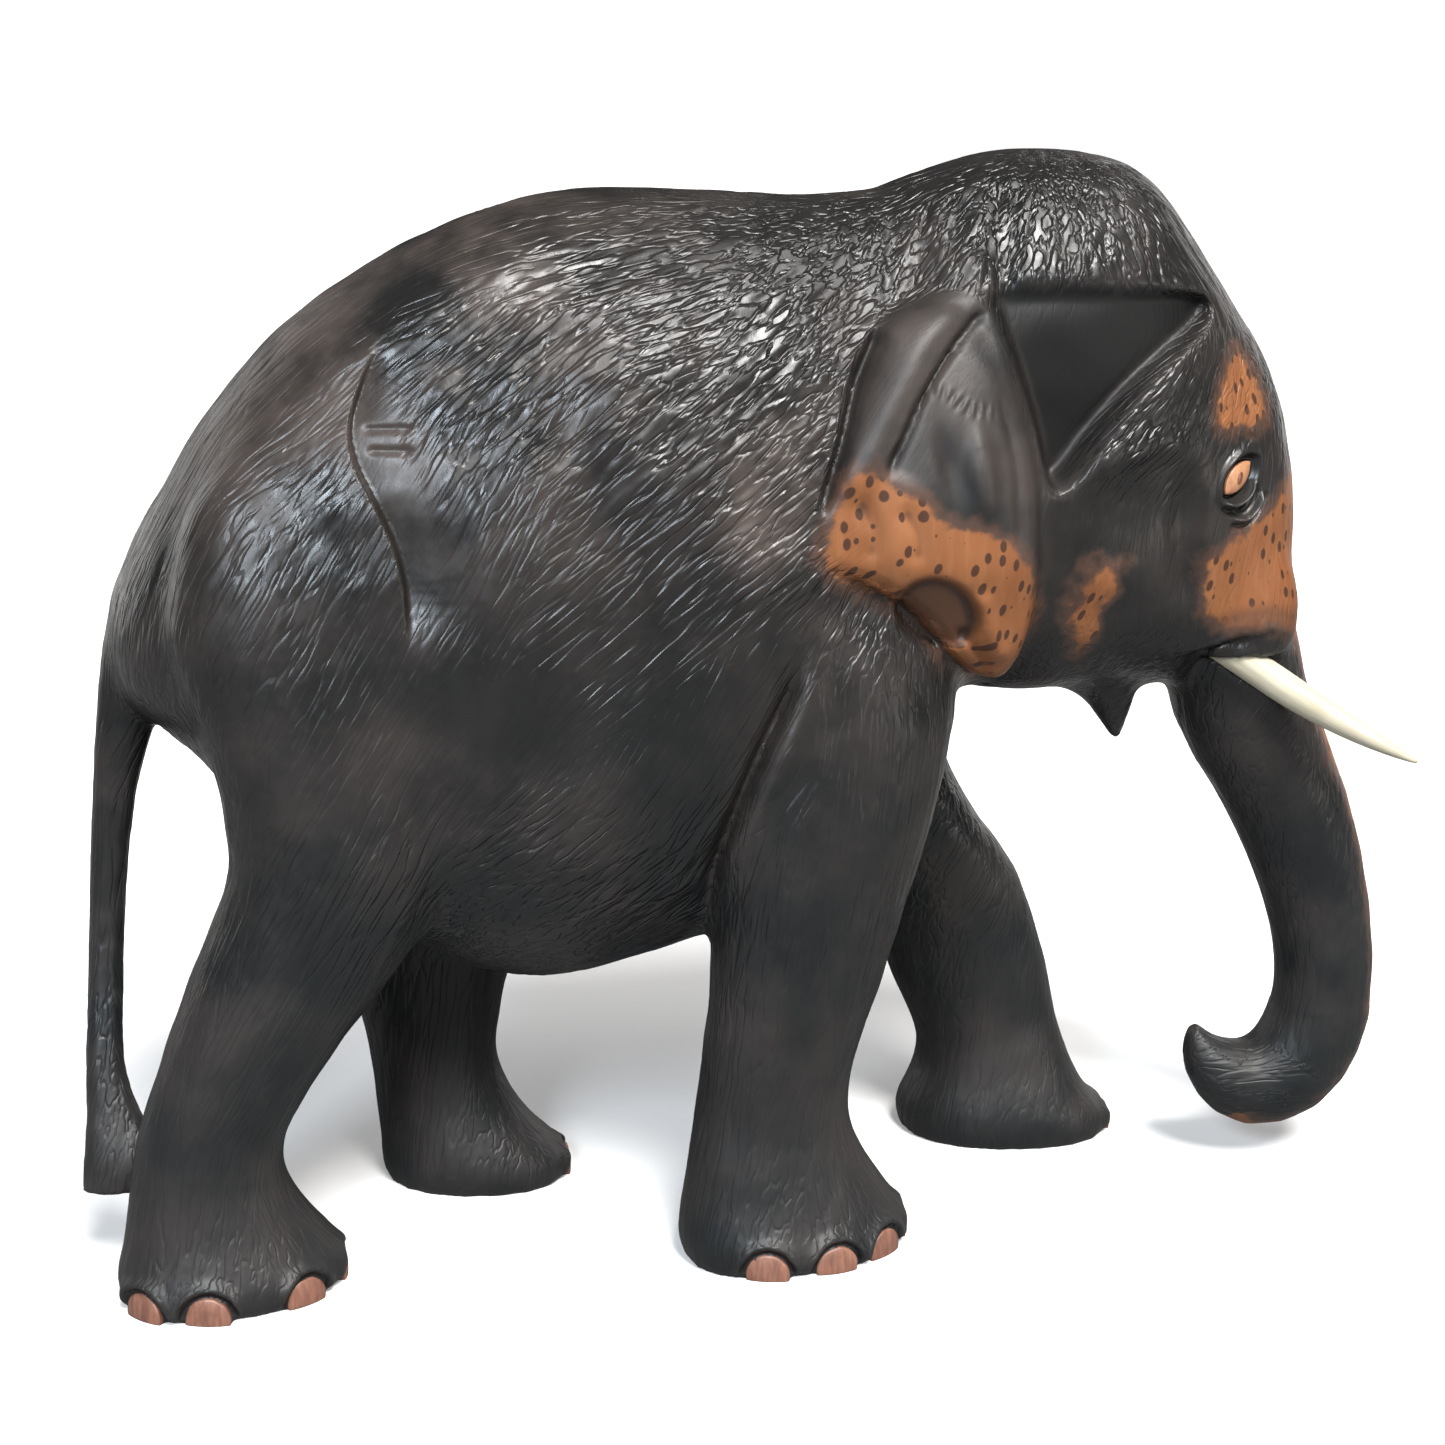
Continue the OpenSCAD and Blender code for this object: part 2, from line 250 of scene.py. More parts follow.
EYE_TURN = math.radians(26)      # forward from straight out
EYE_TILT = math.radians(42)      # of the almond, its front corner up
EYE_MIDDLE_BELOW = 1.6           # the CAD eye's own middle lies this far under its place
NAIL_HEIGHT = 1.4                # of a toenail's centre above the sole
NAIL_RADIUS = 6.2
TENON_LENGTH = 14.0


def eye_axes(side):
    """The eye's place and its three ways: along the face, up, and out."""
    out = np.array([math.sin(EYE_TURN), side * math.cos(EYE_TURN), 0])
    ahead = np.array([math.cos(EYE_TURN), -side * math.sin(EYE_TURN), 0])
    name = "eye_right" if side == RIGHT else "eye_left"
    low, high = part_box(name)
    place = (np.array(low) + np.array(high)) / 2 / MM + EYE_MIDDLE_BELOW * out
    return place, ahead, UP, out


def sole_middle(foot):
    """The middle of a foot's sole, as x and y."""
    mount = next(m for m in frame["record"]["mounts"] if m["name"] == f"sole_{foot}")
    return np.array(mount["pos_m"][:2]) / MM


def nail_axes(foot, number):
    """A toenail's place on the foot and its three ways: across, up, and out."""
    points = node_points(f"toenail_{foot}_{number}")
    spread = points[:, :2] - points[:, :2].mean(0)
    out = np.append(np.linalg.eigh(spread.T @ spread)[1][:, 0], 0)
    if out[:2] @ (points[:, :2].mean(0) - sole_middle(foot)) < 0:
        out = -out
    across = np.cross(UP, out)
    face = (points @ out).max()
    middle = (points @ across).max() / 2 + (points @ across).min() / 2
    place = out * face + across * middle
    place[2] = NAIL_HEIGHT
    return place, across, UP, out


# ---- the skin ----

class Skin:
    """The carving's surface, as arrays in millimetres beside its Blender mesh."""

    def __init__(self, mesh):
        self.mesh = mesh
        self.read()

    def read(self):
        self.points = mesh_points(self.mesh)
        ends = np.empty(len(self.mesh.edges) * 2, np.int32)
        self.mesh.edges.foreach_get("vertices", ends)
        self.edges = ends.reshape(-1, 2).T.copy()
        self.triangles = mesh_triangles(self.mesh).T.copy()
        self.valence = np.bincount(ends, minlength=len(self.points)).astype(float)
        self.face()

    def write(self):
        """Gives the points back to the mesh, in metres."""
        self.mesh.vertices.foreach_set("co", (self.points * MM).astype(np.float32).ravel())
        self.mesh.update()

    def face(self):
        """Measures which way the surface faces at each point."""
        a, b, c = (self.points[i] for i in self.triangles)
        cross = np.cross(b - a, c - a)
        total = np.zeros_like(self.points)
        for axis in range(3):
            for corner in self.triangles:
                total[:, axis] += np.bincount(corner, cross[:, axis], len(total))
        self.normals = total / np.maximum(np.linalg.norm(total, axis=1), 1e-9)[:, None]

    def mean_of_neighbours(self, values):
        a, b = self.edges
        n = len(values)
        if values.ndim == 1:
            return (np.bincount(a, values[b], n) + np.bincount(b, values[a], n)) / self.valence
        return np.stack([self.mean_of_neighbours(values[:, k]) for k in range(values.shape[1])], 1)

    def relax(self, rounds, share):
        """Smooths the surface. share, from 0 to 1, is how much each point may follow."""
        for _ in range(rounds):
            pull = self.mean_of_neighbours(self.points) - self.points
            self.points += 0.5 * share[:, None] * pull
        self.face()

    def fill_creases(self, rounds, share):
        """Rounds inside corners only, as a carver's fillet does."""
        for turn in range(rounds):
            if turn % 10 == 0:
                self.face()
            pull = self.mean_of_neighbours(self.points) - self.points
            outward = np.einsum("ij,ij->i", pull, self.normals) > 0
            self.points += 0.5 * (share * outward)[:, None] * pull
        self.face()


FULL_VOXEL = 0.9
VOXEL = FULL_VOXEL
SINK = 1.0                       # how far the inlays' seats lie under their faces


def rough_out():
    """One closed skin over the carved body, with the inlays' pockets filled up to their seats."""
    bodies = [("carved_body", np.zeros(3))]
    for name, side in SIDES.items():
        out = eye_axes(side)[3]
        bodies += [(f"eye_{name}", out), (f"pupil_{name}", out)]
    bodies += [(f"toenail_{foot}_{number}", nail_axes(foot, number)[3]) for foot, number in NAILS]
    points, triangles, start = [], [], 0
    for name, out in bodies:
        moved = node_points(name) - SINK * out
        points.append(moved)
        triangles.append(mesh_triangles(frame["nodes"][name].data) + start)
        start += len(moved)
    block = bpy.data.meshes.new("block")
    block.from_pydata((np.vstack(points) * MM).tolist(), [], np.vstack(triangles).tolist())
    holder = add_object("block", block)
    remesh = holder.modifiers.new("skin", "REMESH")
    remesh.mode = "VOXEL"
    remesh.voxel_size = VOXEL * MM
    graph = bpy.context.evaluated_depsgraph_get()
    mesh = bpy.data.meshes.new_from_object(holder.evaluated_get(graph))
    bpy.data.objects.remove(holder)
    return mesh


def refine(mesh, places, radius):
    """Divides the faces near some places in four."""
    with edited(mesh) as bm:
        tree = KDTree(len(bm.faces))
        bm.faces.ensure_lookup_table()
        for f in bm.faces:
            tree.insert(f.calc_center_median(), f.index)
        tree.balance()
        chosen = {i for place in places for _, i, _ in tree.find_range(Vector(place * MM), radius * MM)}
        edges = {e for i in chosen for e in bm.faces[i].edges}
        bmesh.ops.subdivide_edges(bm, edges=list(edges), cuts=1, use_grid_fill=True)
        bmesh.ops.triangulate(bm, faces=[f for f in bm.faces if len(f.verts) > 4])


LIP_TIP = np.array([106.5, 0, 133])
TRUNK_TIP = np.array([117, 0, 42])


def freedom(skin):
    """How far each point may follow the smoothing: little on thin ends, sockets and soles."""
    x, y, z = skin.points.T
    share = ease(0.5, 6, z)
    tail = (x < -156) & (z < 150) & (np.abs(y + 4) < 24)
    trunk_curl = (x > 128) & (z < 48)
    share = np.where(tail, 0.25, share)
    share *= 1 - 0.75 * trunk_curl
    share *= 1 - 0.8 * bell(np.linalg.norm(skin.points - LIP_TIP, axis=1), 14)
    for side in SIDES.values():
        root, way = tusk_line(side)
        off = skin.points - root
        gap = np.linalg.norm(off - np.clip(off @ way, -TENON_LENGTH, 24)[:, None] * way, axis=1)
        share *= ease(6.5, 11, gap)
    return share


def tusk_line(side):
    """The mouth of a tusk's socket, and the way the tusk points."""
    name = "tusk_right" if side == RIGHT else "tusk_left"
    joint = next(j for j in frame["joints"] if j["child"] == name)
    way = np.array(joint["axis"], float)
    points = node_points(name)
    reach = points @ way
    tenon_end = points[reach < reach.min() + 0.1].mean(0)
    return tenon_end + TENON_LENGTH * way, way


# ---- carving: outlines and lines on the elephant's side, as x and z ----

EAR = flowing([(54, 262), (61, 242), (67, 217), (68, 197), (67, 180), (64, 167), (58, 160),
               (50, 166), (42, 175), (34, 183), (24, 190), (14, 194), (9, 199), (8, 210),
               (12, 222), (17, 237), (24, 254), (40, 264)], closed=True)
EAR_LOWER_EDGE = flowing([(7, 203), (10, 197), (24, 189), (34, 183), (42, 174), (50, 166), (58, 159)])
EAR_CRACK = flowing([(27, 256), (20, 243), (16, 231), (12, 220), (8, 208)])
EAR_CREASE = flowing([(54, 260), (46, 253), (40, 246), (34, 237), (29, 227), (24, 218)])
EAR_ROLL = flowing([(48, 265), (37, 254), (28, 240), (21, 227), (13, 210)])
EAR_FRONT_FOLD = flowing([(55, 240), (59, 222), (60, 207), (60, 196)])
EAR_WRINKLE = flowing([(34, 240), (41, 239), (47, 235), (55, 234)])
EAR_TEETH = 9
EAR_TIP_RIDGE = flowing([(50, 189), (53, 179), (59, 166)])
EAR_TIP_FOLD = flowing([(46, 178), (51, 170), (56, 163)])
EAR_WAVES = [flowing([(17, 214), (22, 204), (20, 196)]), flowing([(28, 212), (33, 203), (32, 195)])]
TEMPLE = flowing([(56, 263), (70, 265), (88, 264.5), (106, 263), (118, 260), (118, 254),
                  (107, 246), (95, 236), (85, 225), (77, 215), (71, 214), (67, 228), (61, 246)],
                 closed=True, steps=4)
BROW = flowing([(121, 257), (110, 246), (98, 235), (87, 224), (76, 211)])
CHEEK_TOP = flowing([(82, 218), (96, 222), (112, 224)])
TRUNK_ROOT_GROOVE = flowing([(112, 222), (111, 205), (113, 188), (117, 172)])
LIP_LEDGE = flowing([(116, 161), (124, 164), (131, 167), (142, 168), (152, 164)])
SHOULDER = flowing([(-35, 277), (-53, 256), (-57, 239), (-50, 222), (-34, 204), (-12, 188),
                    (6, 184), (18, 205), (20, 240), (8, 274)], closed=True)
ELBOW = {RIGHT: flowing([(6, 179), (0, 161), (-8, 143), (-14, 126), (-18, 111), (-19, 90)]),
         LEFT: flowing([(10, 187), (10, 165), (16, 140), (26, 118), (34, 98)])}
HIP_FOLD = flowing([(-102, 255), (-107, 245), (-111, 233), (-110, 224), (-105, 213), (-101, 203),
                    (-99, 192), (-99, 176)])
HIP_WRINKLES = [flowing([(-108, 232), (-94, 232.5)]), flowing([(-107, 227), (-94, 227)])]
PELVIS = flowing([(-124, 242), (-108, 252), (-86, 264), (-60, 275)])
NECK_FOLDS = [flowing(p) for p in ([(28, 256), (30, 268), (35, 283)], [(36, 262), (39, 273), (43, 286)],
                                   [(45, 268), (48, 279), (51, 289)], [(20, 262), (22, 272), (26, 284)])]
NAPE = flowing([(58, 262), (61, 275), (62, 292)])

# Ovals: centre, radii, turn
EAR_OVAL = ((40, 181.5), (12.5, 9.5), -42)
EAR_KNOB = ((50, 268), (9, 7), -30)
EAR_BULGE = ((50, 219), (5.0, 13), 8)
EAR_TROUGH = ((41, 221), (3.5, 12), 12)
CHEEK_HOLLOW = ((96, 204), (18, 15), 0)
TUSK_MOUTH = ((148, 155), (17, 12), 0)
FLANK_HOLLOW = ((-80, 236), (28, 20), 25)
LOIN_HOLLOW = ((-62, 150), (16, 34), -20)
NECK_STAIN = ((-3, 214), (15, 27), -15)
LIP_STAIN = ((138, 170), (16, 6), 0)

# Lines round the eye, from its middle: ahead and up
EYE_CRESCENTS = [flowing([(-5.5, -5.6), (-2.2, -7.4), (2.4, -5.2), (6.0, -0.6)]),
                 flowing([(-2.5, -11.2), (3.0, -11.6), (7.0, -8.6), (9.6, -3.4)])]
EYE_BROW = flowing([(-6.5, -1.5), (-2.0, 5.8), (5.0, 9.0), (8.6, 5.2)])


def crease(flat, relief, line, height, width, fade=0.2):
    """Raises a rounded ridge along a line, or cuts a groove where the height is below 0."""
    gap, along, _ = to_line(flat, line)
    relief += height * bell(gap, width) * fade_ends(along, fade)


def swell(flat, relief, height, edge, core, *oval):
    """Raises or sinks an oval, from nothing at one share of its radii to the full height at another."""
    relief += height * ease(edge, core, in_oval(flat, *oval))


def carve_ear(flat, relief):
    """Carves the ear, and returns how far inside its outline each point is."""
    inside = depth_inside(flat, EAR)
    relief += 1.2 * ease(0, 3, inside)
    gap, along, _ = to_line(flat, EAR_LOWER_EDGE)
    relief -= 4.5 * (inside < 0) * ease(0, 1.2, gap) * ease(26, 3, gap) * ease(0, 0.45, along)
    gap, along, _ = to_line(flat, EAR_CRACK)
    relief -= 5.0 * bell(gap, 2.0 - 0.9 * along) * fade_ends(along, 0.12)
    crease(flat, relief, EAR_CREASE, -2.6, 1.3, 0.12)
    gap, along, hand = to_line(flat, EAR_CREASE)
    relief -= 1.6 * (hand > 0) * bell(gap, 8) * fade_ends(along, 0.1)
    crease(flat, relief, EAR_ROLL, 2.4, 5, 0.15)
    swell(flat, relief, 2.0, 1.3, 0.4, *EAR_KNOB)
    crease(flat, relief, EAR_FRONT_FOLD, -1.2, 1.3)
    swell(flat, relief, 2.6, 1.2, 0.1, *EAR_BULGE)
    relief -= 1.8 * bell(in_oval(flat, *EAR_TROUGH), 0.8)
    gap, along, _ = to_line(flat, EAR_WRINKLE)
    tooth = 0.5 + 0.5 * np.cos(along * 2 * np.pi * EAR_TEETH)
    relief += (0.7 * tooth - 0.35) * bell(gap, 1.8) * fade_ends(along, 0.1)
    swell(flat, relief, -3.0, 1.06, 0.78, *EAR_OVAL)
    crease(flat, relief, EAR_TIP_RIDGE, 1.6, 2.4)
    crease(flat, relief, EAR_TIP_FOLD, -1.6, 1.5)
    for wave in EAR_WAVES:
        crease(flat, relief, wave, -1.0, 2.2)
    return inside


def carve_head(flat, relief):
    """Carves the side of the head, and returns how far inside the temple's outline each point is."""
    hollow = depth_inside(flat, TEMPLE)
    deeper = ease(264, 222, flat[:, 1] - 0.25 * (flat[:, 0] - 85))
    wall = 3.0 + 2.0 * ease(246, 264, flat[:, 1]) * ease(112, 96, flat[:, 0])
    relief -= (3.2 + 6.4 * deeper) * ease(-0.5, 1.0, hollow / wall)
    gap, _, _ = to_line(flat, BROW)
    relief += 1.6 * bell(gap, 12) * ease(0.5, -0.5, hollow)
    crease(flat, relief, CHEEK_TOP, 1.3, 4)
    swell(flat, relief, -2.6, 1.3, 0.1, *CHEEK_HOLLOW)
    crease(flat, relief, TRUNK_ROOT_GROOVE, -3.0, 5, 0.3)
    gap, along, hand = to_line(flat, LIP_LEDGE)
    clear = ease(1.0, 1.4, in_oval(flat, *TUSK_MOUTH))
    relief -= 2.0 * (hand < 0) * ease(0, 1.6, gap) * ease(22, 3, gap) * fade_ends(along, 0.15) * clear
    relief += 0.8 * (hand > 0) * bell(gap, 4) * fade_ends(along, 0.15)
    crease(flat, relief, NAPE, -2.0, 5)
    for fold in NECK_FOLDS:
        crease(flat, relief, fold, -0.8, 1.5)
    return hollow


def carve_body(flat, relief, side):
    """Carves one flank, and returns where the smooth band behind the hip fold is."""
    relief += 2.6 * ease(-5, 14, depth_inside(flat, SHOULDER))
    gap, along, hand = to_line(flat, ELBOW[side])
    ends = fade_ends(along, 0.3)
    relief -= 3.4 * bell(gap, 2.6) * ends
    relief -= 2.6 * (hand < 0) * bell(gap, 14) * ends
    relief += 2.2 * (hand > 0) * ease(0, 2, gap) * bell(gap, 13) * ends
    gap, along, hand = to_line(flat, HIP_FOLD)
    ends = fade_ends(along, 0.25)
    band = (hand > 0) * ease(15, 10, gap) * ends
    relief -= 4.4 * (hand > 0) * ease(0, 1.4, gap) * np.clip(1 - gap / 22, 0, 1) * ends
    for wrinkle in HIP_WRINKLES:
        crease(flat, relief, wrinkle, -0.65, 0.9)
    crease(flat, relief, PELVIS, 1.8, 6)
    swell(flat, relief, -1.4, 1.3, 0.1, *FLANK_HOLLOW)
    swell(flat, relief, -1.6, 1.3, 0.1, *LOIN_HOLLOW)
    return band


HEAD_START = -4.0                # everything of the ear and the head lies ahead of this


def carve_sides(skin):
    """Carves the folds on both flanks, and returns where the temple, the ear and the hip's band are."""
    flat = skin.points[:, [0, 2]]
    outside = np.full(len(flat), -FAR)
    within = {"ear": outside, "temple": outside.copy(), "band": np.zeros(len(flat))}
    head = flat[:, 0] > HEAD_START
    for side in SIDES.values():
        facing = ease(0.0, 0.45, side * skin.normals[:, 1])
        relief = np.zeros(len(flat))
        part = relief[head]
        this = side * skin.points[head, 1] > 0
        within["ear"][head] = np.where(this, carve_ear(flat[head], part), within["ear"][head])
        within["temple"][head] = np.where(this, carve_head(flat[head], part), within["temple"][head])
        relief[head] = part
        within["band"] = np.maximum(within["band"], carve_body(flat, relief, side) * facing)
        skin.points[:, 1] += side * relief * facing
    skin.face()
    return within


def carve_eyes(skin):
    """Lids and the folds of skin round each eye."""
    for side in SIDES.values():
        place, ahead, up, out = eye_axes(side)
        off = skin.points - place
        flat = np.stack([off @ ahead, off @ up], 1)
        near = (np.linalg.norm(off, axis=1) < 20) & (skin.normals @ out > 0.2)
        chosen = flat[near]
        relief = np.zeros(len(chosen))
        gap = -depth_inside(chosen, almond_outline(1.0))
        relief -= 1.3 * bell(gap - 0.6, 1.0)
        relief += 0.9 * bell(gap - 2.6, 0.9)
        for line in EYE_CRESCENTS:
            gap, along, _ = to_line(chosen, line)
            relief += 1.5 * bell(gap, 0.8) * fade_ends(along, 0.25)
            relief -= 0.9 * bell(gap - 1.7, 0.8) * fade_ends(along, 0.15)
        crease(chosen, relief, EYE_BROW, 1.0, 1.6, 0.3)
        skin.points[near] += relief[:, None] * out
    skin.face()


def carve_toes(skin):
    """A cut round each toenail and the swell of the toe above it."""
    for foot, number in NAILS:
        place, across, up, out = nail_axes(foot, number)
        off = skin.points - place
        radius = np.hypot(off @ across, off @ up)
        near = (radius < 16) & (np.abs(off @ out) < 8) & (skin.normals @ out > 0.1)
        past_rim = radius[near] - NAIL_RADIUS
        relief = bell(past_rim - 2.6, 1.6) - 1.2 * bell(past_rim - 0.5, 0.9)
        skin.points[near] += (relief * ease(0.5, 3, skin.points[near, 2]))[:, None] * out
    skin.face()


# ---- gouge strokes ----

# On the side of the elephant: x, z, the strokes' lean, their depth as a share, their length
COMB = [
    (-30, 252, 33, 1.0, 17), (-62, 240, 50, 0.9, 14), (-18, 215, 38, 1.0, 17), (-44, 186, 38, 0.45, 17),
    (0, 200, 42, 0.9, 15), (-10, 150, 58, 0.35, 14), (-70, 120, 45, 0.9, 15), (-40, 92, 48, 0.9, 14),
    (-100, 272, 30, 0.5, 14), (-60, 284, 20, 0.6, 14), (-130, 232, 50, 0.5, 12), (-150, 205, 56, 0.5, 12),
    (-160, 180, 62, 0.5, 12), (-130, 185, 55, 0.3, 14), (-120, 150, 62, 0.3, 15), (-106, 112, 62, 0.9, 17),
    (-85, 210, 60, 0.3, 14), (-82, 160, 52, 0.15, 14), (-140, 70, 65, 0.4, 13), (-132, 20, 82, 0.4, 9),
    (14, 150, 74, 0.35, 14), (14, 110, 82, 0.6, 15), (14, 55, 85, 0.4, 13), (20, 15, 88, 0.4, 8),
    (70, 100, 62, 0.6, 13), (96, 40, 75, 0.3, 12), (-70, 50, 84, 0.35, 12), (30, 280, 72, 0.9, 12),
    (12, 262, 48, 0.9, 13), (84, 284, 86, 0.8, 7), (104, 284, 100, 0.7, 7), (122, 268, 116, 0.7, 7),
    (100, 228, 43, 1.0, 13), (124, 240, 56, 0.6, 9), (95, 188, 86, 0.2, 12), (60, 205, 80, 0.1, 10),
    (135, 190, 86, 0.25, 10), (140, 135, 62, 0.45, 12), (158, 95, 70, 0.4, 12), (168, 50, 86, 0.35, 11),
    (150, 22, 0, 0.4, 9), (-172, 90, 88, 0.6, 13),
]
COMB_REACH = 22.0
STROKES = 11000
STROKE_WIDTH = (1.0, 1.6)        # half the width of a cut
STROKE_DEPTH = 0.5
LEAST_DEPTH = 0.03               # shallower cuts are left out
LEAN_SPREAD = 0.06               # in radians
BEND_SPREAD = 0.006              # of a stroke's sideways bow, per millimetre squared


def comb(flat):
    """The strokes' lean in radians, their depth and their length, at each place on the side."""
    table = np.array(COMB, float)
    away = np.linalg.norm(flat[:, None] - table[None, :, :2], axis=2)
    weight = 1 / (away ** 2 + COMB_REACH) ** 1.6
    weight /= weight.sum(1, keepdims=True)
    twice = np.radians(2 * table[:, 2])
    lean = 0.5 * np.arctan2(weight @ np.sin(twice), weight @ np.cos(twice))
    return lean, weight @ table[:, 3], weight @ table[:, 4]


def cut_strokes(skin, plain):
    """Cuts shallow gouge strokes. plain, from 0 to 1, is where the surface stays smooth."""
    rng = np.random.default_rng(SEED)
    tree = KDTree(len(skin.points))
    for i, point in enumerate(skin.points):
        tree.insert(point, i)
    tree.balance()
    chosen = rng.choice(len(skin.points), STROKES, replace=False)
    lean, share, length = comb(skin.points[chosen][:, [0, 2]])
    lean += rng.normal(0, LEAN_SPREAD, STROKES)
    length *= rng.uniform(0.8, 1.6, STROKES)
    width = rng.uniform(*STROKE_WIDTH, STROKES)
    depth = STROKE_DEPTH * share * rng.uniform(0.45, 1.1, STROKES) * (1 - plain[chosen])
    bend = rng.normal(0, BEND_SPREAD, STROKES)
    cuts = np.zeros(len(skin.points))
    for k, i in enumerate(chosen):
        if depth[k] < LEAST_DEPTH:
            continue
        normal = skin.normals[i]
        way = np.array([math.cos(lean[k]), 0, math.sin(lean[k])])
        way -= (way @ normal) * normal
        steepness = np.linalg.norm(way)
        if steepness < 0.15:
            continue
        way /= steepness
        across = np.cross(normal, way)
        half = length[k] / 2
        hits = np.array([h[1] for h in tree.find_range(skin.points[i], half)])
        off = skin.points[hits] - skin.points[i]
        u = off @ way
        v = off @ across + bend[k] * u ** 2
        value = depth[k] * (1 - (v / width[k]) ** 2) * np.sqrt(np.clip(1 - (u / half) ** 2, 0, 1))
        value[(skin.normals[hits] @ normal < 0.4) | (np.abs(off @ normal) > 5)] = 0
        cuts[hits] = np.maximum(cuts[hits], value)
    skin.points -= (cuts * (1 - plain))[:, None] * skin.normals
    skin.face()


def unevenness(points, size, seed, waves=14):
    """Soft lumps about size across, between -1 and 1."""
    rng = np.random.default_rng(seed)
    total = np.zeros(len(points))
    for _ in range(waves):
        way = rng.normal(0, 1, 3)
        way *= rng.uniform(0.6, 1.5) * math.pi / size / np.linalg.norm(way)
        total += np.sin(points @ way + rng.uniform(0, 2 * math.pi))
    return total / waves * 2.2


# ---- bare and stained wood ----

BARE_EAR = flowing([(8, 199), (12, 210), (15, 219), (20, 220), (26, 216), (34, 213), (40, 208), (47, 206),
                    (56, 201), (61, 195), (66, 187), (69, 180), (65, 166), (58, 157), (48, 164),
                    (40, 174), (32, 182), (22, 188), (12, 192)], closed=True)
BARE_CHEEK = flowing([(84, 170), (81, 180), (84, 190), (90, 193), (92, 186), (88, 178), (87, 169)],
                     closed=True)
BARE_OVER_EYE = flowing([(129, 245), (134, 238), (138, 228), (130, 225), (121, 226), (121, 233), (125, 241)],
                        closed=True)
BARE_TRUNK_ROOT = flowing([(158, 216), (150, 211), (143, 204), (135, 197), (127, 192), (121, 189),
                           (121, 180), (123, 173), (131, 169), (143, 169), (158, 164)], closed=True)
TRUNK_STRIP = flowing([(160, 222), (158, 190), (157, 168), (160, 140), (170, 112), (180, 85), (186, 60),
                       (184, 36), (172, 16), (150, 12)])
TRUNK_STRIP_HALF = 8.0
# Each patch of unstained wood: its outline, how far it is drawn in, and how ragged its edge is
BARE_PATCHES = [(BARE_EAR, 0, 0), (BARE_CHEEK, -0.8, 2.2), (BARE_OVER_EYE, 0.5, 0), (BARE_TRUNK_ROOT, 0, 0)]
STAINED = -20.0                  # the distance given to wood far from any bare patch


def bare_wood(skin):
    """Signed distance to the edge of the unstained wood, positive inside, and how brown it is."""
    flat = skin.points[:, [0, 2]]
    y = skin.points[:, 1]
    bare = np.full(len(flat), STAINED)
    brown = np.zeros(len(flat))
    for side in SIDES.values():
        this = side * y > 0
        facing = side * skin.normals[:, 1]
        for outline, drawn_in, ragged in BARE_PATCHES:
            inside = depth_inside(flat, outline) - drawn_in - 12 * ease(0.25, -0.2, facing)
            if ragged:
                inside += ragged * unevenness(skin.points, 4, SEED + 2)
            bare = np.where(this, np.maximum(bare, inside), bare)
        oval = ease(1.05, 0.85, in_oval(flat, *EAR_OVAL)) * ease(0.1, 0.4, facing)
        oval *= ease(165, 182, flat[:, 1] + 0.5 * (flat[:, 0] - EAR_OVAL[0][0]))
        lip = 0.7 * ease(1.2, 0.6, in_oval(flat, *LIP_STAIN))
        brown = np.where(this, np.maximum(brown, np.maximum(oval, lip)), brown)
    gap, _, _ = to_line(flat, TRUNK_STRIP)
    front = (gap < 18) & (skin.normals[:, 0] - 0.6 * skin.normals[:, 2] > 0.0)
    strip = np.where(front, TRUNK_STRIP_HALF - np.abs(y) - 0.6 * np.maximum(gap - 12, 0), STAINED)
    bare = np.maximum(bare, strip)
    return np.clip(bare, STAINED, -STAINED), brown


def hollowness(skin, rounds):
    """From -1 on sharp edges to 1 in grooves, blurred a little."""
    pull = np.einsum("ij,ij->i", skin.mean_of_neighbours(skin.points) - skin.points, skin.normals)
    for _ in range(rounds):
        pull = skin.mean_of_neighbours(pull)
    return np.clip(pull / 0.05, -1, 1)


def mark_surface(skin, within, plain):
    """Stores the values that stained_wood reads."""
    bare, brown = bare_wood(skin)
    flat = skin.points[:, [0, 2]]
    lean, share, _ = comb(flat)
    way = np.stack([np.cos(lean), np.zeros(len(lean)), np.sin(lean)], 1)
    way -= np.einsum("ij,ij->i", way, skin.normals)[:, None] * skin.normals
    lean = np.arctan2(way[:, 2], way[:, 0])
    flat_on = np.maximum(np.abs(skin.normals[:, 1]), np.abs(skin.normals[:, 0]))
    x, y, z = skin.points.T
    warm = 0.2 + 0.5 * ease(185, 250, z) * ease(-30, -70, x)
    warm += 0.8 * ease(1.3, 0.3, in_oval(flat, *NECK_STAIN)) + 0.25 * ease(0, 4, within["ear"])
    warm += 1.2 * bell(np.linalg.norm(skin.points - TRUNK_TIP, axis=1), 8)
    marks = {
        "bare": bare, "brown": brown, "lean": np.degrees(lean) % 180, "hollow": hollowness(skin, 3),
        "tooled": share * (1 - plain), "smooth": ease(-1, 2, within["ear"]),
        # the temple hollow's mark: matte, and painted darker as shade
        "matte_and_painted_shade": ease(-1, 2, within["temple"]), "freckled": ease(0.45, 0.7, flat_on),
        "warm": np.clip(warm, 0, 1), "across": (x - np.abs(y)) * MM,
    }
    for name, values in marks.items():
        mark_points(skin.mesh, name, values)


# ---- materials ----

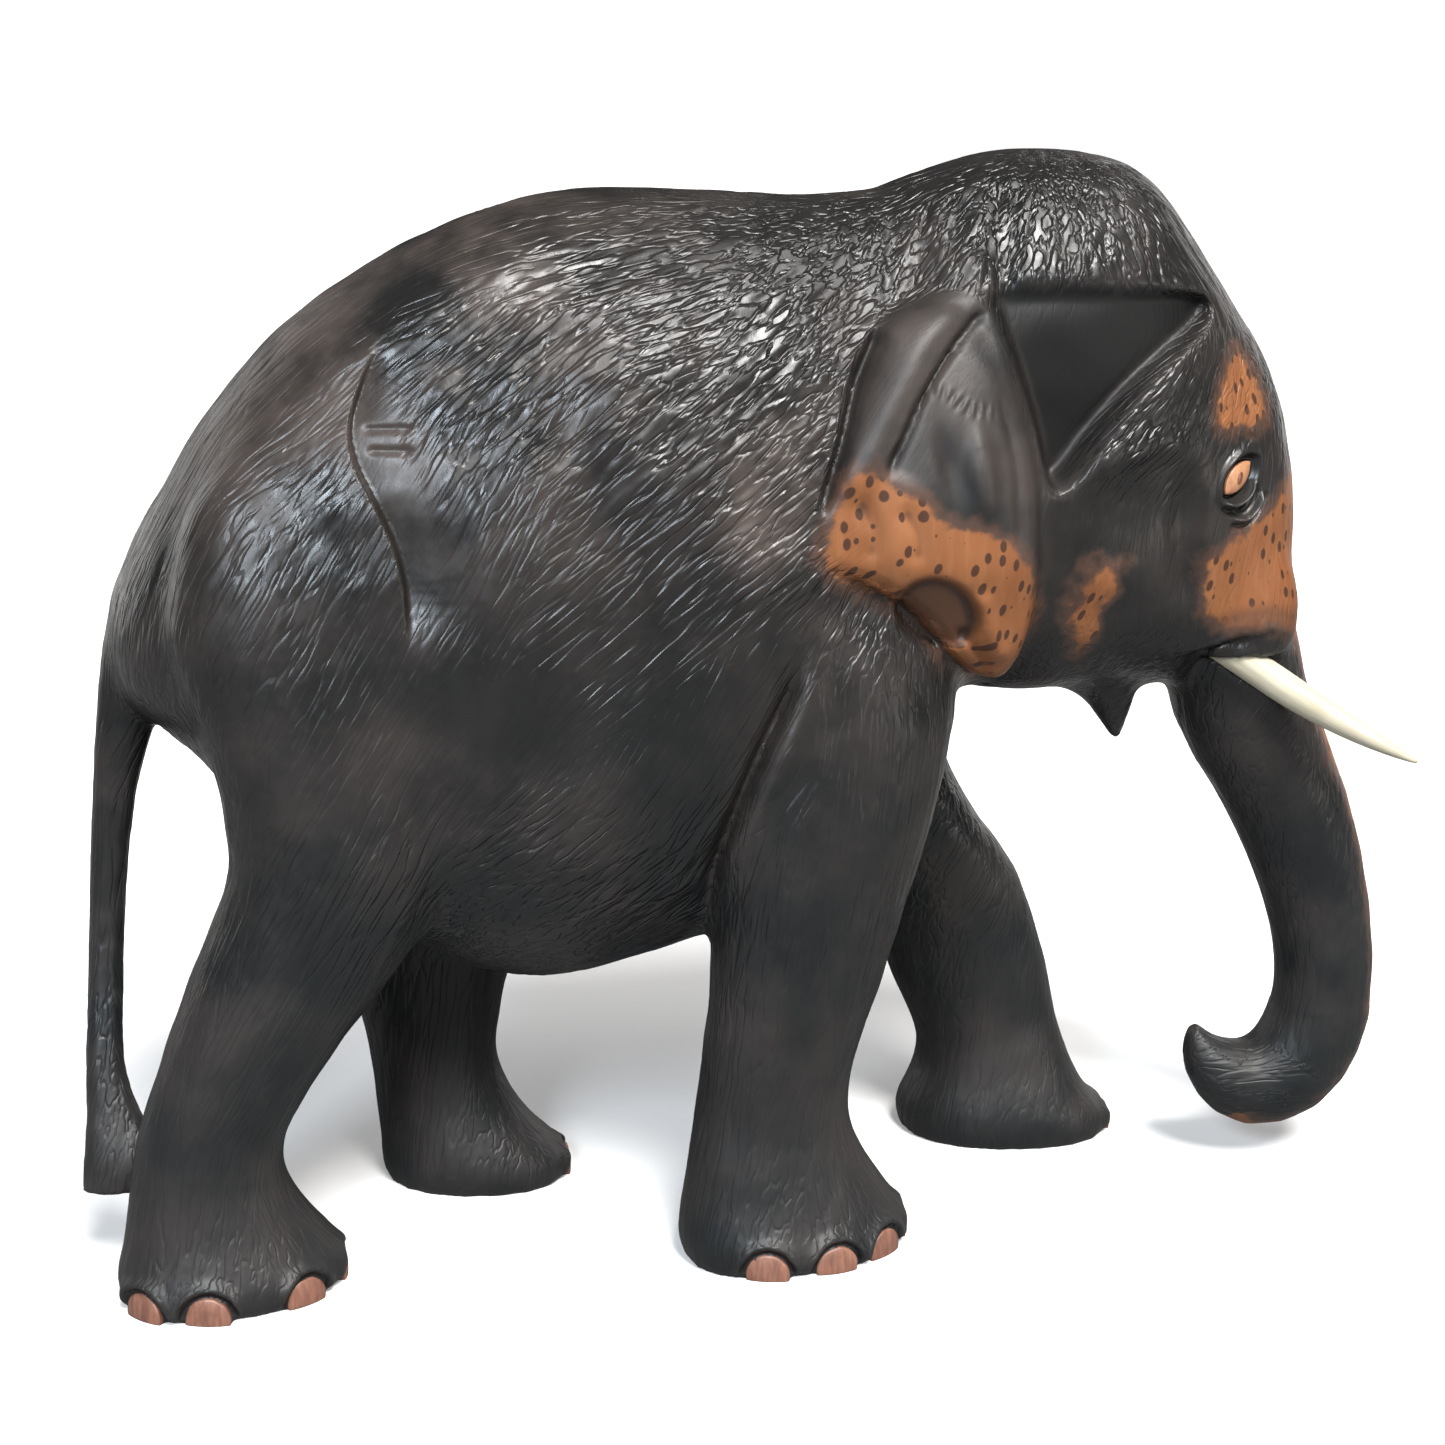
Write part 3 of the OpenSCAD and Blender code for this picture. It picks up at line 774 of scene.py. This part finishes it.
class Nodes:
    """Short ways to add and join shader nodes."""

    def __init__(self, name):
        self.material = bpy.data.materials.new(name)
        self.material.use_nodes = True
        self.tree = self.material.node_tree
        self.shader = self.tree.nodes["Principled BSDF"]

    def join(self, source, target):
        if isinstance(source, bpy.types.NodeSocket):
            self.tree.links.new(source, target)
        else:
            target.default_value = source

    def add(self, kind, settings=None, **inputs):
        """Adds a node, with its settings and with what joins its inputs."""
        node = self.tree.nodes.new(f"ShaderNode{kind}")
        for key, value in (settings or {}).items():
            setattr(node, key, value)
        for key, value in inputs.items():
            self.join(value, node.inputs[key.replace("_", " ")])
        return node

    def attribute(self, name):
        return self.add("Attribute", {"attribute_name": name}).outputs["Fac"]

    def place(self):
        return self.add("TexCoord").outputs["Object"]

    def stretched(self, along, lean=90.0):
        """Places drawn out along a line that leans by some degrees on the elephant's side."""
        node = self.add("Mapping", {"vector_type": "TEXTURE"}, Vector=self.place())
        node.inputs["Rotation"].default_value = (0, -math.radians(lean), 0)
        node.inputs["Scale"].default_value = (along, 1, 1)
        return node.outputs[0]

    def noise(self, vector, scale, detail=3.0, roughness=0.55):
        return self.add("TexNoise", Vector=vector, Scale=scale, Detail=detail,
                        Roughness=roughness).outputs["Fac"]

    def grooves(self, lean):
        """Long thin grooves about 2 mm apart, 0 in the groove and 1 between."""
        cloud = self.noise(self.stretched(10, lean), 420, 1.0, 0.4)
        off = self.math("ABSOLUTE", self.math("SUBTRACT", cloud, 0.5))
        return self.math("MULTIPLY", off, 11.0, clamp=True)

    def times(self, a, b):
        return self.math("MULTIPLY", a, b)

    def math(self, operation, a, b=0.0, clamp=False):
        node = self.add("Math", {"operation": operation, "use_clamp": clamp})
        self.join(a, node.inputs[0])
        self.join(b, node.inputs[1])
        return node.outputs[0]

    def ramp(self, value, low, high, to_low=0.0, to_high=1.0):
        """Goes from to_low to to_high in an S while the value goes from low to high."""
        node = self.add("MapRange", {"interpolation_type": "SMOOTHSTEP"})
        for key, given in zip(("Value", "From Min", "From Max", "To Min", "To Max"),
                              (value, low, high, to_low, to_high)):
            self.join(given, node.inputs[key])
        return node.outputs[0]

    def blend(self, factor, a, b):
        node = self.add("Mix", {"data_type": "RGBA"})
        self.join(factor, node.inputs[0])
        self.join(a, node.inputs[6])
        self.join(b, node.inputs[7])
        return node.outputs[2]

    def between(self, factor, a, b):
        node = self.add("Mix", {"data_type": "FLOAT"})
        for source, socket in zip((factor, a, b), node.inputs[:1] + node.inputs[2:4]):
            self.join(source, socket)
        return node.outputs[0]

    def bump(self, height, strength, distance):
        node = self.add("Bump", Height=height, Strength=strength, Distance=distance)
        self.join(node.outputs[0], self.shader.inputs["Normal"])

    def surface(self, **inputs):
        """Joins the last inputs of the shader and hands over the material."""
        for key, value in inputs.items():
            self.join(value, self.shader.inputs[key.replace("_", " ")])
        return self.material


def rgb(r, g, b):
    return (r, g, b, 1.0)


MARK_LEANS = range(0, 200, 20)   # in degrees; the last is the first again


def stained_wood():
    """Black-stained wood with bare, freckled patches, all from the marks on the carving."""
    n = Nodes("stained_wood")
    place = n.place()
    lump = n.noise(place, 28, 4)
    speck = n.noise(place, 260, 3)
    grain = n.noise(n.stretched(11), 420, 4, 0.6)
    streak = n.noise(n.stretched(8), 60, 3)
    # Fine tool marks: thin grooves that follow the gouge strokes
    lean = n.attribute("lean")
    mark = first = n.grooves(MARK_LEANS[0])
    for before, after in zip(MARK_LEANS, MARK_LEANS[1:]):
        middle = (before + after) / 2
        grooves = first if after == MARK_LEANS[-1] else n.grooves(after)
        mark = n.between(n.ramp(lean, middle - 4, middle + 4), mark, grooves)

    # Stain: black, with brown where it is thin, and with painted shade and highlight marked below
    warm = n.times(n.attribute("warm"), n.ramp(lump, 0.35, 0.7))
    level = n.add("SeparateXYZ", Vector=place).outputs["Z"]
    # Painted shade: low down (from 0.20 m to 0.05 m above the floor) the black turns darker and bluish, standing
    # in for the cool dim light on the lower legs
    black_with_painted_low_shade = n.blend(n.ramp(level, 0.05, 0.20), rgb(0.0040, 0.0055, 0.0063), rgb(0.0063, 0.0062, 0.0060))
    black_with_painted_low_shade = n.blend(n.ramp(streak, 0.35, 0.75, 0, 0.5), black_with_painted_low_shade, rgb(0.013, 0.012, 0.0115))
    stain = n.blend(warm, black_with_painted_low_shade, rgb(0.060, 0.046, 0.040))
    # Painted shade: the temple hollow's stain is darkened to stand for the shadow in that recess; the same mark
    # also makes it matte, further down
    stain = n.blend(n.attribute("matte_and_painted_shade"), stain, rgb(0.0022, 0.0023, 0.0022))
    # Sharp edges turned lighter and browner: partly rubbed wear, partly a painted highlight
    edge = n.times(n.attribute("hollow"), -1.0)
    stain = n.blend(n.ramp(edge, 0.3, 1.0, 0, 0.12), stain, rgb(0.060, 0.052, 0.048))

    # Bare wood: orange, streaked, with dark freckles
    orange = n.blend(n.ramp(streak, 0.3, 0.75), rgb(0.185, 0.071, 0.026), rgb(0.135, 0.047, 0.016))
    orange = n.blend(n.ramp(grain, 0.45, 0.8, 0, 0.4), orange, rgb(0.21, 0.092, 0.040))
    orange = n.blend(n.attribute("brown"), orange, rgb(0.058, 0.025, 0.013))
    spread = n.add("CombineXYZ", X=n.attribute("across"), Y=n.times(level, 0.7))
    dots = n.add("TexVoronoi", {"feature": "F1", "voronoi_dimensions": "2D"},
                 Vector=spread.outputs[0], Scale=230, Randomness=0.85)
    pick = n.add("SeparateColor", Color=dots.outputs["Color"])
    size = n.ramp(pick.outputs[0], 0.1, 0.8, 0.04, 0.27)
    freckle = n.ramp(n.math("SUBTRACT", size, dots.outputs["Distance"]), -0.03, 0.05)
    freckle = n.times(freckle, n.math("SUBTRACT", 1.0, n.attribute("brown")))
    freckle = n.times(freckle, n.attribute("freckled"))
    orange = n.blend(n.times(freckle, 0.92), orange, rgb(0.030, 0.012, 0.007))
    ragged = n.math("MULTIPLY_ADD", n.math("SUBTRACT", lump, 0.5), 12.0)
    n.join(n.attribute("bare"), ragged.node.inputs[2])
    ragged = n.math("ADD", ragged, n.times(n.math("SUBTRACT", speck, 0.5), 6.0))
    bare = n.ramp(ragged, -1.0, 1.6)
    fringe = n.times(n.ramp(ragged, -5.0, -0.5), 0.75)
    stain = n.blend(fringe, stain, rgb(0.058, 0.030, 0.020))
    colour = n.blend(bare, stain, orange)
    # Grooves and creases darkened in the colour: painted shade, with a little dust
    colour = n.blend(n.ramp(n.attribute("hollow"), 0.3, 1.0, 0, 0.6), colour, rgb(0.010, 0.008, 0.007))

    rough = n.ramp(speck, 0.2, 0.8, 0.27, 0.40)
    rough = n.math("ADD", rough, n.ramp(lump, 0.3, 0.7, -0.05, 0.06))
    rough = n.between(n.times(bare, 0.8), rough, 0.52)
    rough = n.between(n.attribute("smooth"), rough, 0.5)
    rough = n.between(n.ramp(level, 0.03, 0.13), 0.5, rough)
    rough = n.between(n.attribute("matte_and_painted_shade"), rough, 0.5)
    height = n.times(mark, n.attribute("tooled"))
    height = n.math("ADD", height, n.times(grain, 0.22))
    n.bump(height, 0.7, 0.0005)
    return n.surface(Base_Color=colour, Roughness=rough, Specular_IOR_Level=0.28)


def carved_light_wood(name, light, dark, roughness):
    """Pale inlay wood with fine upright grain."""
    n = Nodes(name)
    grain = n.noise(n.stretched(8), 700, 4, 0.6)
    lump = n.noise(n.place(), 160, 3)
    colour = n.blend(n.ramp(grain, 0.3, 0.75), rgb(*light), rgb(*dark))
    colour = n.blend(n.ramp(lump, 0.45, 0.75, 0, 0.55), colour, rgb(*(0.6 * c for c in dark)))
    rough = n.ramp(lump, 0.2, 0.8, roughness - 0.08, roughness + 0.1)
    n.bump(n.math("ADD", grain, lump), 0.35, 0.0003)
    return n.surface(Base_Color=colour, Roughness=rough)


def ivory_like():
    """Cream plastic with faint streaks along the tusk."""
    n = Nodes("cream_plastic")
    along = n.attribute("along")
    drawn = n.add("CombineXYZ", X=n.times(along, 0.25), Y=n.attribute("round"))
    streak = n.noise(drawn.outputs[0], 9, 4, 0.6)
    cloud = n.noise(n.place(), 90, 3)
    colour = n.blend(n.ramp(streak, 0.35, 0.7), rgb(0.40, 0.372, 0.285), rgb(0.31, 0.27, 0.19))
    colour = n.blend(n.ramp(cloud, 0.4, 0.75, 0, 0.4), colour, rgb(0.40, 0.35, 0.285))
    colour = n.blend(n.ramp(along, 0.0, 0.12, 0.55, 0.0), colour, rgb(0.27, 0.24, 0.15))
    rough = n.ramp(cloud, 0.2, 0.8, 0.30, 0.44)
    n.bump(streak, 0.25, 0.0004)
    return n.surface(Base_Color=colour, Roughness=rough, Subsurface_Weight=0.12,
                     Subsurface_Radius=(0.003, 0.002, 0.0012))


# ---- the pieces ----

# The ear's ladder wrinkle, the hip's wrinkles and the hip fold
FINE_PLACES = [(46, 50, 237), (-102, 46, 230), (-108, 43, 241), (-106, 50, 215), (-101, 54, 199),
               (-99, 57, 183)]
RELAX_ROUNDS, FILL_ROUNDS, SETTLE_ROUNDS = 50, 110, 12


def make_carving(material):
    """The whole carved skin, from the rough block to its last mark."""
    mesh = rough_out()
    places = [eye_axes(side)[0] for side in SIDES.values()]
    refine(mesh, places, 20)
    both = [np.array([x, side * y, z]) for x, y, z in FINE_PLACES for side in SIDES.values()]
    refine(mesh, both, 12)
    refine(mesh, places, 15)
    refine(mesh, [nail_axes(foot, number)[0] for foot, number in NAILS], 9)
    skin = Skin(mesh)
    share = freedom(skin)
    coarse = (VOXEL / FULL_VOXEL) ** 2
    outer = 0.35 + 0.65 * ease(0.3, 0.7, np.abs(skin.normals[:, 1]))
    skin.relax(int(RELAX_ROUNDS / coarse), share)
    skin.fill_creases(int(FILL_ROUNDS / coarse), share * outer)
    skin.relax(int(SETTLE_ROUNDS / coarse), share)
    lumps = unevenness(skin.points, 24, SEED) + 0.5 * unevenness(skin.points, 9, SEED + 1)
    skin.points += (0.35 * lumps * share)[:, None] * skin.normals
    within = carve_sides(skin)
    skin.relax(2, share)
    carve_eyes(skin)
    carve_toes(skin)
    plain = np.maximum(0.9 * ease(0.5, 3, within["temple"]), 0.92 * ease(-1, 2, within["ear"]))
    plain = np.maximum(plain, 0.9 * within["band"])
    near_eye = [bell(np.linalg.norm(skin.points - place, axis=1), 14) for place in places]
    plain = np.maximum(plain, np.maximum(*near_eye))
    plain = np.maximum(plain, ease(3, 0.5, skin.points[:, 2]))
    cut_strokes(skin, plain)
    low, high = (np.array(corner) / MM for corner in cad_box)
    skin.points = np.clip(skin.points, low, high)
    mark_surface(skin, within, plain)
    skin.write()
    mesh.name = "carving"
    return add_piece("carved_elephant", mesh, material, "carving", ["carved_body"])


TUSK_RADIUS = 4.6
TUSK_TIP_RADIUS = 0.5
TUSK_STRAIGHT = 22.0
TUSK_LENGTH = 67.0
TUSK_BOW = 3.5
TENON_RADIUS = 3.2
TUSK_SIDES = 56


def tusk_profile():
    """Rings from the tenon's end to the tip: how far along, radius, and how far the middle bows up."""
    rings = [(-TENON_LENGTH, TENON_RADIUS - 0.5, 0), (-TENON_LENGTH + 0.5, TENON_RADIUS, 0),
             (0.0, TENON_RADIUS, 0), (0.2, TUSK_RADIUS - 0.3, 0), (0.4, TUSK_RADIUS, 0)]
    for s in np.linspace(1.5, TUSK_LENGTH, 64):
        t = max(0.0, (s - TUSK_STRAIGHT) / (TUSK_LENGTH - TUSK_STRAIGHT))
        radius = TUSK_TIP_RADIUS + (TUSK_RADIUS - TUSK_TIP_RADIUS) * (1 - t ** 1.7) ** 0.8
        rings.append((s, radius, TUSK_BOW * t * t))
    return rings


def solid_mesh(name, points, faces):
    """A mesh of points in millimetres, with every face turned outwards."""
    mesh = bpy.data.meshes.new(name)
    mesh.from_pydata((points * MM).tolist(), [], faces)
    with edited(mesh) as bm:
        bmesh.ops.recalc_face_normals(bm, faces=bm.faces)
    return mesh


def tube_faces(rings, count):
    """The faces between rings of count points each."""
    faces = []
    for start in range(0, (rings - 1) * count, count):
        for k in range(count):
            a, b = start + k, start + (k + 1) % count
            faces.append((a, b, b + count, a + count))
    return faces


def make_tusk(name, side, material):
    """A horn with faint long facets from the rasp, closed at both ends, on its tenon."""
    root, way = tusk_line(side)
    across = np.cross(way, UP)
    across /= np.linalg.norm(across)
    up = np.cross(across, way)
    rng = np.random.default_rng(SEED + side)
    phase = rng.uniform(0, 2 * math.pi, 3)
    angles = np.arange(TUSK_SIDES) * 2 * math.pi / TUSK_SIDES
    points, along = [], []
    for s, radius, bow in tusk_profile():
        worn = 0.10 * np.sin(5 * angles + phase[0] + 0.05 * s)
        worn += 0.06 * np.sin(9 * angles + phase[1] - 0.03 * s)
        r = radius + (np.minimum(worn, 0) - 0.02) * (s > 1) * min(1.0, radius / 3)
        middle = root + s * way + bow * up
        points.append(middle + np.outer(r * np.cos(angles), across) + np.outer(r * np.sin(angles), up))
        along += [s / TUSK_LENGTH] * TUSK_SIDES
    rings = len(points)
    faces = tube_faces(rings, TUSK_SIDES)
    faces.append(tuple(reversed(range(TUSK_SIDES))))
    faces.append(tuple(range((rings - 1) * TUSK_SIDES, rings * TUSK_SIDES)))
    mesh = solid_mesh(name, np.vstack(points), faces)
    mark_points(mesh, "along", along)
    mark_points(mesh, "round", np.tile(np.cos(angles), rings))
    return add_piece(f"{name}_horn", mesh, material, name, [name])


EYE_LENGTH, EYE_HEIGHT = 12.5, 6.6
PUPIL_RADII = np.array([1.0, 1.75])
PUPIL_TURN = math.radians(-18)


def almond_half(share):
    """Half the height of the eye's almond at a share of its half length from the middle."""
    r = (EYE_LENGTH ** 2 + EYE_HEIGHT ** 2) / (4 * EYE_HEIGHT)
    return np.sqrt(r ** 2 - (share * EYE_LENGTH / 2) ** 2) - (r - EYE_HEIGHT / 2)


def almond_outline(scale, steps=24):
    """The almond's outline, tilted as it sits on the face."""
    t = np.linspace(-1, 1, steps)
    upper = np.stack([t * EYE_LENGTH / 2, almond_half(t)], 1)
    ring = np.vstack([upper, upper[-2:0:-1] * [1, -1]]) * scale
    return turned(ring, EYE_TILT)


def dome_mesh(name, outline, dome, depth, axes, rings=12, lean=0.0):
    """A closed button: a dome over an outline, on straight sides that go back by depth.

    axes are its place and its three ways, as eye_axes and nail_axes give them. lean is its slope
    along the first way.
    """
    place, ahead, up, out = axes
    outline = np.asarray(outline, float)
    count = len(outline)
    rows = [(1.0, -depth), (1.0, -0.15)]
    rows += [(share, dome * (1 - share ** 2) ** 0.8) for share in 1 - np.arange(rings) / rings]
    points = []
    for share, height in rows:
        for u, v in outline * share:
            points.append(place + u * ahead + v * up + (height + lean * u) * out)
    points.append(place + dome * out)
    points.append(place - depth * out)
    faces = tube_faces(len(rows), count)
    top, bottom, last = len(points) - 2, len(points) - 1, (len(rows) - 1) * count
    for k in range(count):
        faces.append((last + k, last + (k + 1) % count, top))
        faces.append(((k + 1) % count, k, bottom))
    return solid_mesh(name, np.array(points), faces)


def make_eye(name, side, wood, dark):
    """An almond of pale wood and the dark oval peg in its middle."""
    place, ahead, up, out = eye_axes(side)
    seat = (place - 0.1 * out, ahead, up, out)
    almond = dome_mesh(f"{name}_almond", almond_outline(0.98), 0.9, 2.6, seat)
    add_piece(f"eye_{name}_inlay", almond, wood, "carving", [f"eye_{name}"])
    angles = np.linspace(0, 2 * math.pi, 40, endpoint=False)
    oval = turned(np.stack([np.cos(angles), np.sin(angles)], 1) * PUPIL_RADII, PUPIL_TURN)
    seat = (place + 0.75 * out, ahead, up, out)
    pupil = dome_mesh(f"{name}_pupil", oval, 0.25, 1.2, seat, rings=6)
    add_piece(f"pupil_{name}_inlay", pupil, dark, "carving", [f"pupil_{name}"])


SOLE_GAP = 0.05                  # between a toenail and the ground


def make_nail(foot, number, wood):
    """A round peg of pale wood with a domed, knife-cut face, level with the sole below."""
    place, across, up, out = nail_axes(foot, number)
    rng = np.random.default_rng(SEED + 10 * FEET.index(foot) + number)
    angles = np.linspace(0, 2 * math.pi, 56, endpoint=False)
    wave = 0.14 * np.sin(3 * angles + rng.uniform(0, 6)) + 0.08 * np.sin(7 * angles + rng.uniform(0, 6))
    radius = NAIL_RADIUS - 0.15 + np.minimum(wave, 0)
    outline = np.stack([radius * np.cos(angles), radius * np.sin(angles)], 1)
    name = f"toenail_{foot}_{number}"
    seat = (place - 1.2 * out, across, up, out)
    mesh = dome_mesh(name, outline, 1.0, 3.2, seat, lean=rng.uniform(-0.02, 0.02))
    with edited(mesh) as bm:
        everything = bm.verts[:] + bm.edges[:] + bm.faces[:]
        cut = bmesh.ops.bisect_plane(bm, geom=everything, plane_co=(0, 0, SOLE_GAP * MM),
                                     plane_no=(0, 0, -1), clear_outer=True)
        rim = [g for g in cut["geom_cut"] if isinstance(g, bmesh.types.BMEdge)]
        bmesh.ops.edgeloop_fill(bm, edges=rim)
    add_piece(f"{name}_inlay", mesh, wood, "carving", [name])


# ---- the room ----

BACKDROP_RADIUS = 8.0


def add_floor(name, level, shade, glow):
    """A plain level sheet, slightly mottled, with a faint glow of its own."""
    size = BACKDROP_RADIUS
    mesh = bpy.data.meshes.new(name)
    corners = [(-size, -size, level), (size, -size, level), (size, size, level), (-size, size, level)]
    mesh.from_pydata(corners, [], [(0, 1, 2, 3)])
    floor = add_object(name, mesh)
    n = Nodes(name)
    paper = n.noise(n.place(), 3, 2)
    colour = n.blend(paper, rgb(shade, shade, shade), rgb(0.96 * shade, 0.96 * shade, 0.96 * shade))
    mesh.materials.append(n.surface(Base_Color=colour, Emission_Color=colour, Emission_Strength=glow,
                                    Specular_IOR_Level=0.0, Roughness=0.9))
    return floor


def only_for_camera(thing):
    for ray in ("diffuse", "glossy", "transmission", "volume_scatter", "shadow"):
        setattr(thing, f"visible_{ray}", False)


def make_floors():
    """A pale floor that only the camera sees, and a dark one under it that the elephant reflects."""
    only_for_camera(add_floor("floor", 0.0, 0.6, 0.45))
    mirrored = add_floor("floor_below", -MM, 0.2, 0.0)
    mirrored.visible_camera = False


def add_light(name, towards, distance, size, power, colour):
    """A soft square light that looks at the middle of the elephant from a direction."""
    light = bpy.data.lights.new(name, "AREA")
    light.size = size
    light.energy = power
    light.color = colour
    way = Vector(towards).normalized()
    middle = (Vector(cad_box[0]) + Vector(cad_box[1])) / 2
    lamp = add_object(name, light)
    lamp.location = middle + distance * way
    look_along(lamp, -way)


def make_backdrop():
    """A plain pale shell that only the camera sees, so that it doesn't light the elephant."""
    mesh = bpy.data.meshes.new("backdrop")
    with edited(mesh) as bm:
        bmesh.ops.create_uvsphere(bm, u_segments=48, v_segments=24, radius=BACKDROP_RADIUS)
    shell = add_object("backdrop", mesh)
    only_for_camera(shell)
    n = Nodes("backdrop")
    cloud = n.noise(n.place(), 0.2, 1)
    colour = n.blend(cloud, rgb(0.985, 0.985, 0.985), rgb(0.995, 0.995, 0.995))
    mesh.materials.append(n.surface(Base_Color=rgb(0, 0, 0), Emission_Color=colour, Emission_Strength=1.0,
                                    Roughness=1.0))


def add_sun(towards, strength, angle):
    """A wide sun: its angle is how many degrees of the sky it fills."""
    light = bpy.data.lights.new("sun", "SUN")
    light.energy = strength
    light.angle = math.radians(angle)
    light.color = (1.0, 0.985, 0.96)
    look_along(add_object("sun", light), -Vector(towards))


WARM, WARMER, COOL = (1.0, 0.98, 0.96), (1.0, 0.97, 0.93), (0.80, 0.90, 1.0)
# Name, way it stands in, distance and size in metres, power, colour
LIGHTS = [
    ("top", (0.35, -0.30, 0.9), 1.3, 0.5, 10, WARM),
    ("side", (0.8, -0.62, 0.02), 1.3, 0.4, 2.5, WARMER),
    ("left", (-0.43, -0.77, 0.46), 1.3, 0.28, 17, COOL),
    ("far_front", (0.75, 0.72, 0.22), 1.6, 1.1, 6, WARM),
    ("far_back", (-0.72, 0.78, 0.22), 1.6, 1.1, 6, WARM),
]


def make_room():
    """Floors, backdrop, a dim cool sky and the studio's lights."""
    make_floors()
    make_backdrop()
    world = bpy.data.worlds.new("room")
    bpy.context.scene.world = world
    world.use_nodes = True
    sky = world.node_tree.nodes["Background"].inputs
    sky["Color"].default_value = rgb(0.93, 0.96, 1.0)
    sky["Strength"].default_value = 0.075
    add_sun((0.12, -0.62, 0.78), 7.8, 20)
    for light in LIGHTS:
        add_light(*light)
    bpy.context.scene.view_settings.view_transform = "Standard"


make_camera()
make_carving(stained_wood())
cream = ivory_like()
inlay = carved_light_wood("inlay_wood", (0.185, 0.083, 0.053), (0.105, 0.042, 0.027), 0.5)
eye_wood = carved_light_wood("eye_wood", (0.33, 0.16, 0.08), (0.26, 0.112, 0.052), 0.4)
pupil_wood = carved_light_wood("pupil_wood", (0.16, 0.06, 0.025), (0.07, 0.022, 0.012), 0.3)
for name, side in SIDES.items():
    make_tusk(f"tusk_{name}", side, cream)
    make_eye(name, side, eye_wood, pupil_wood)
for foot, number in NAILS:
    make_nail(foot, number, inlay)
make_room()
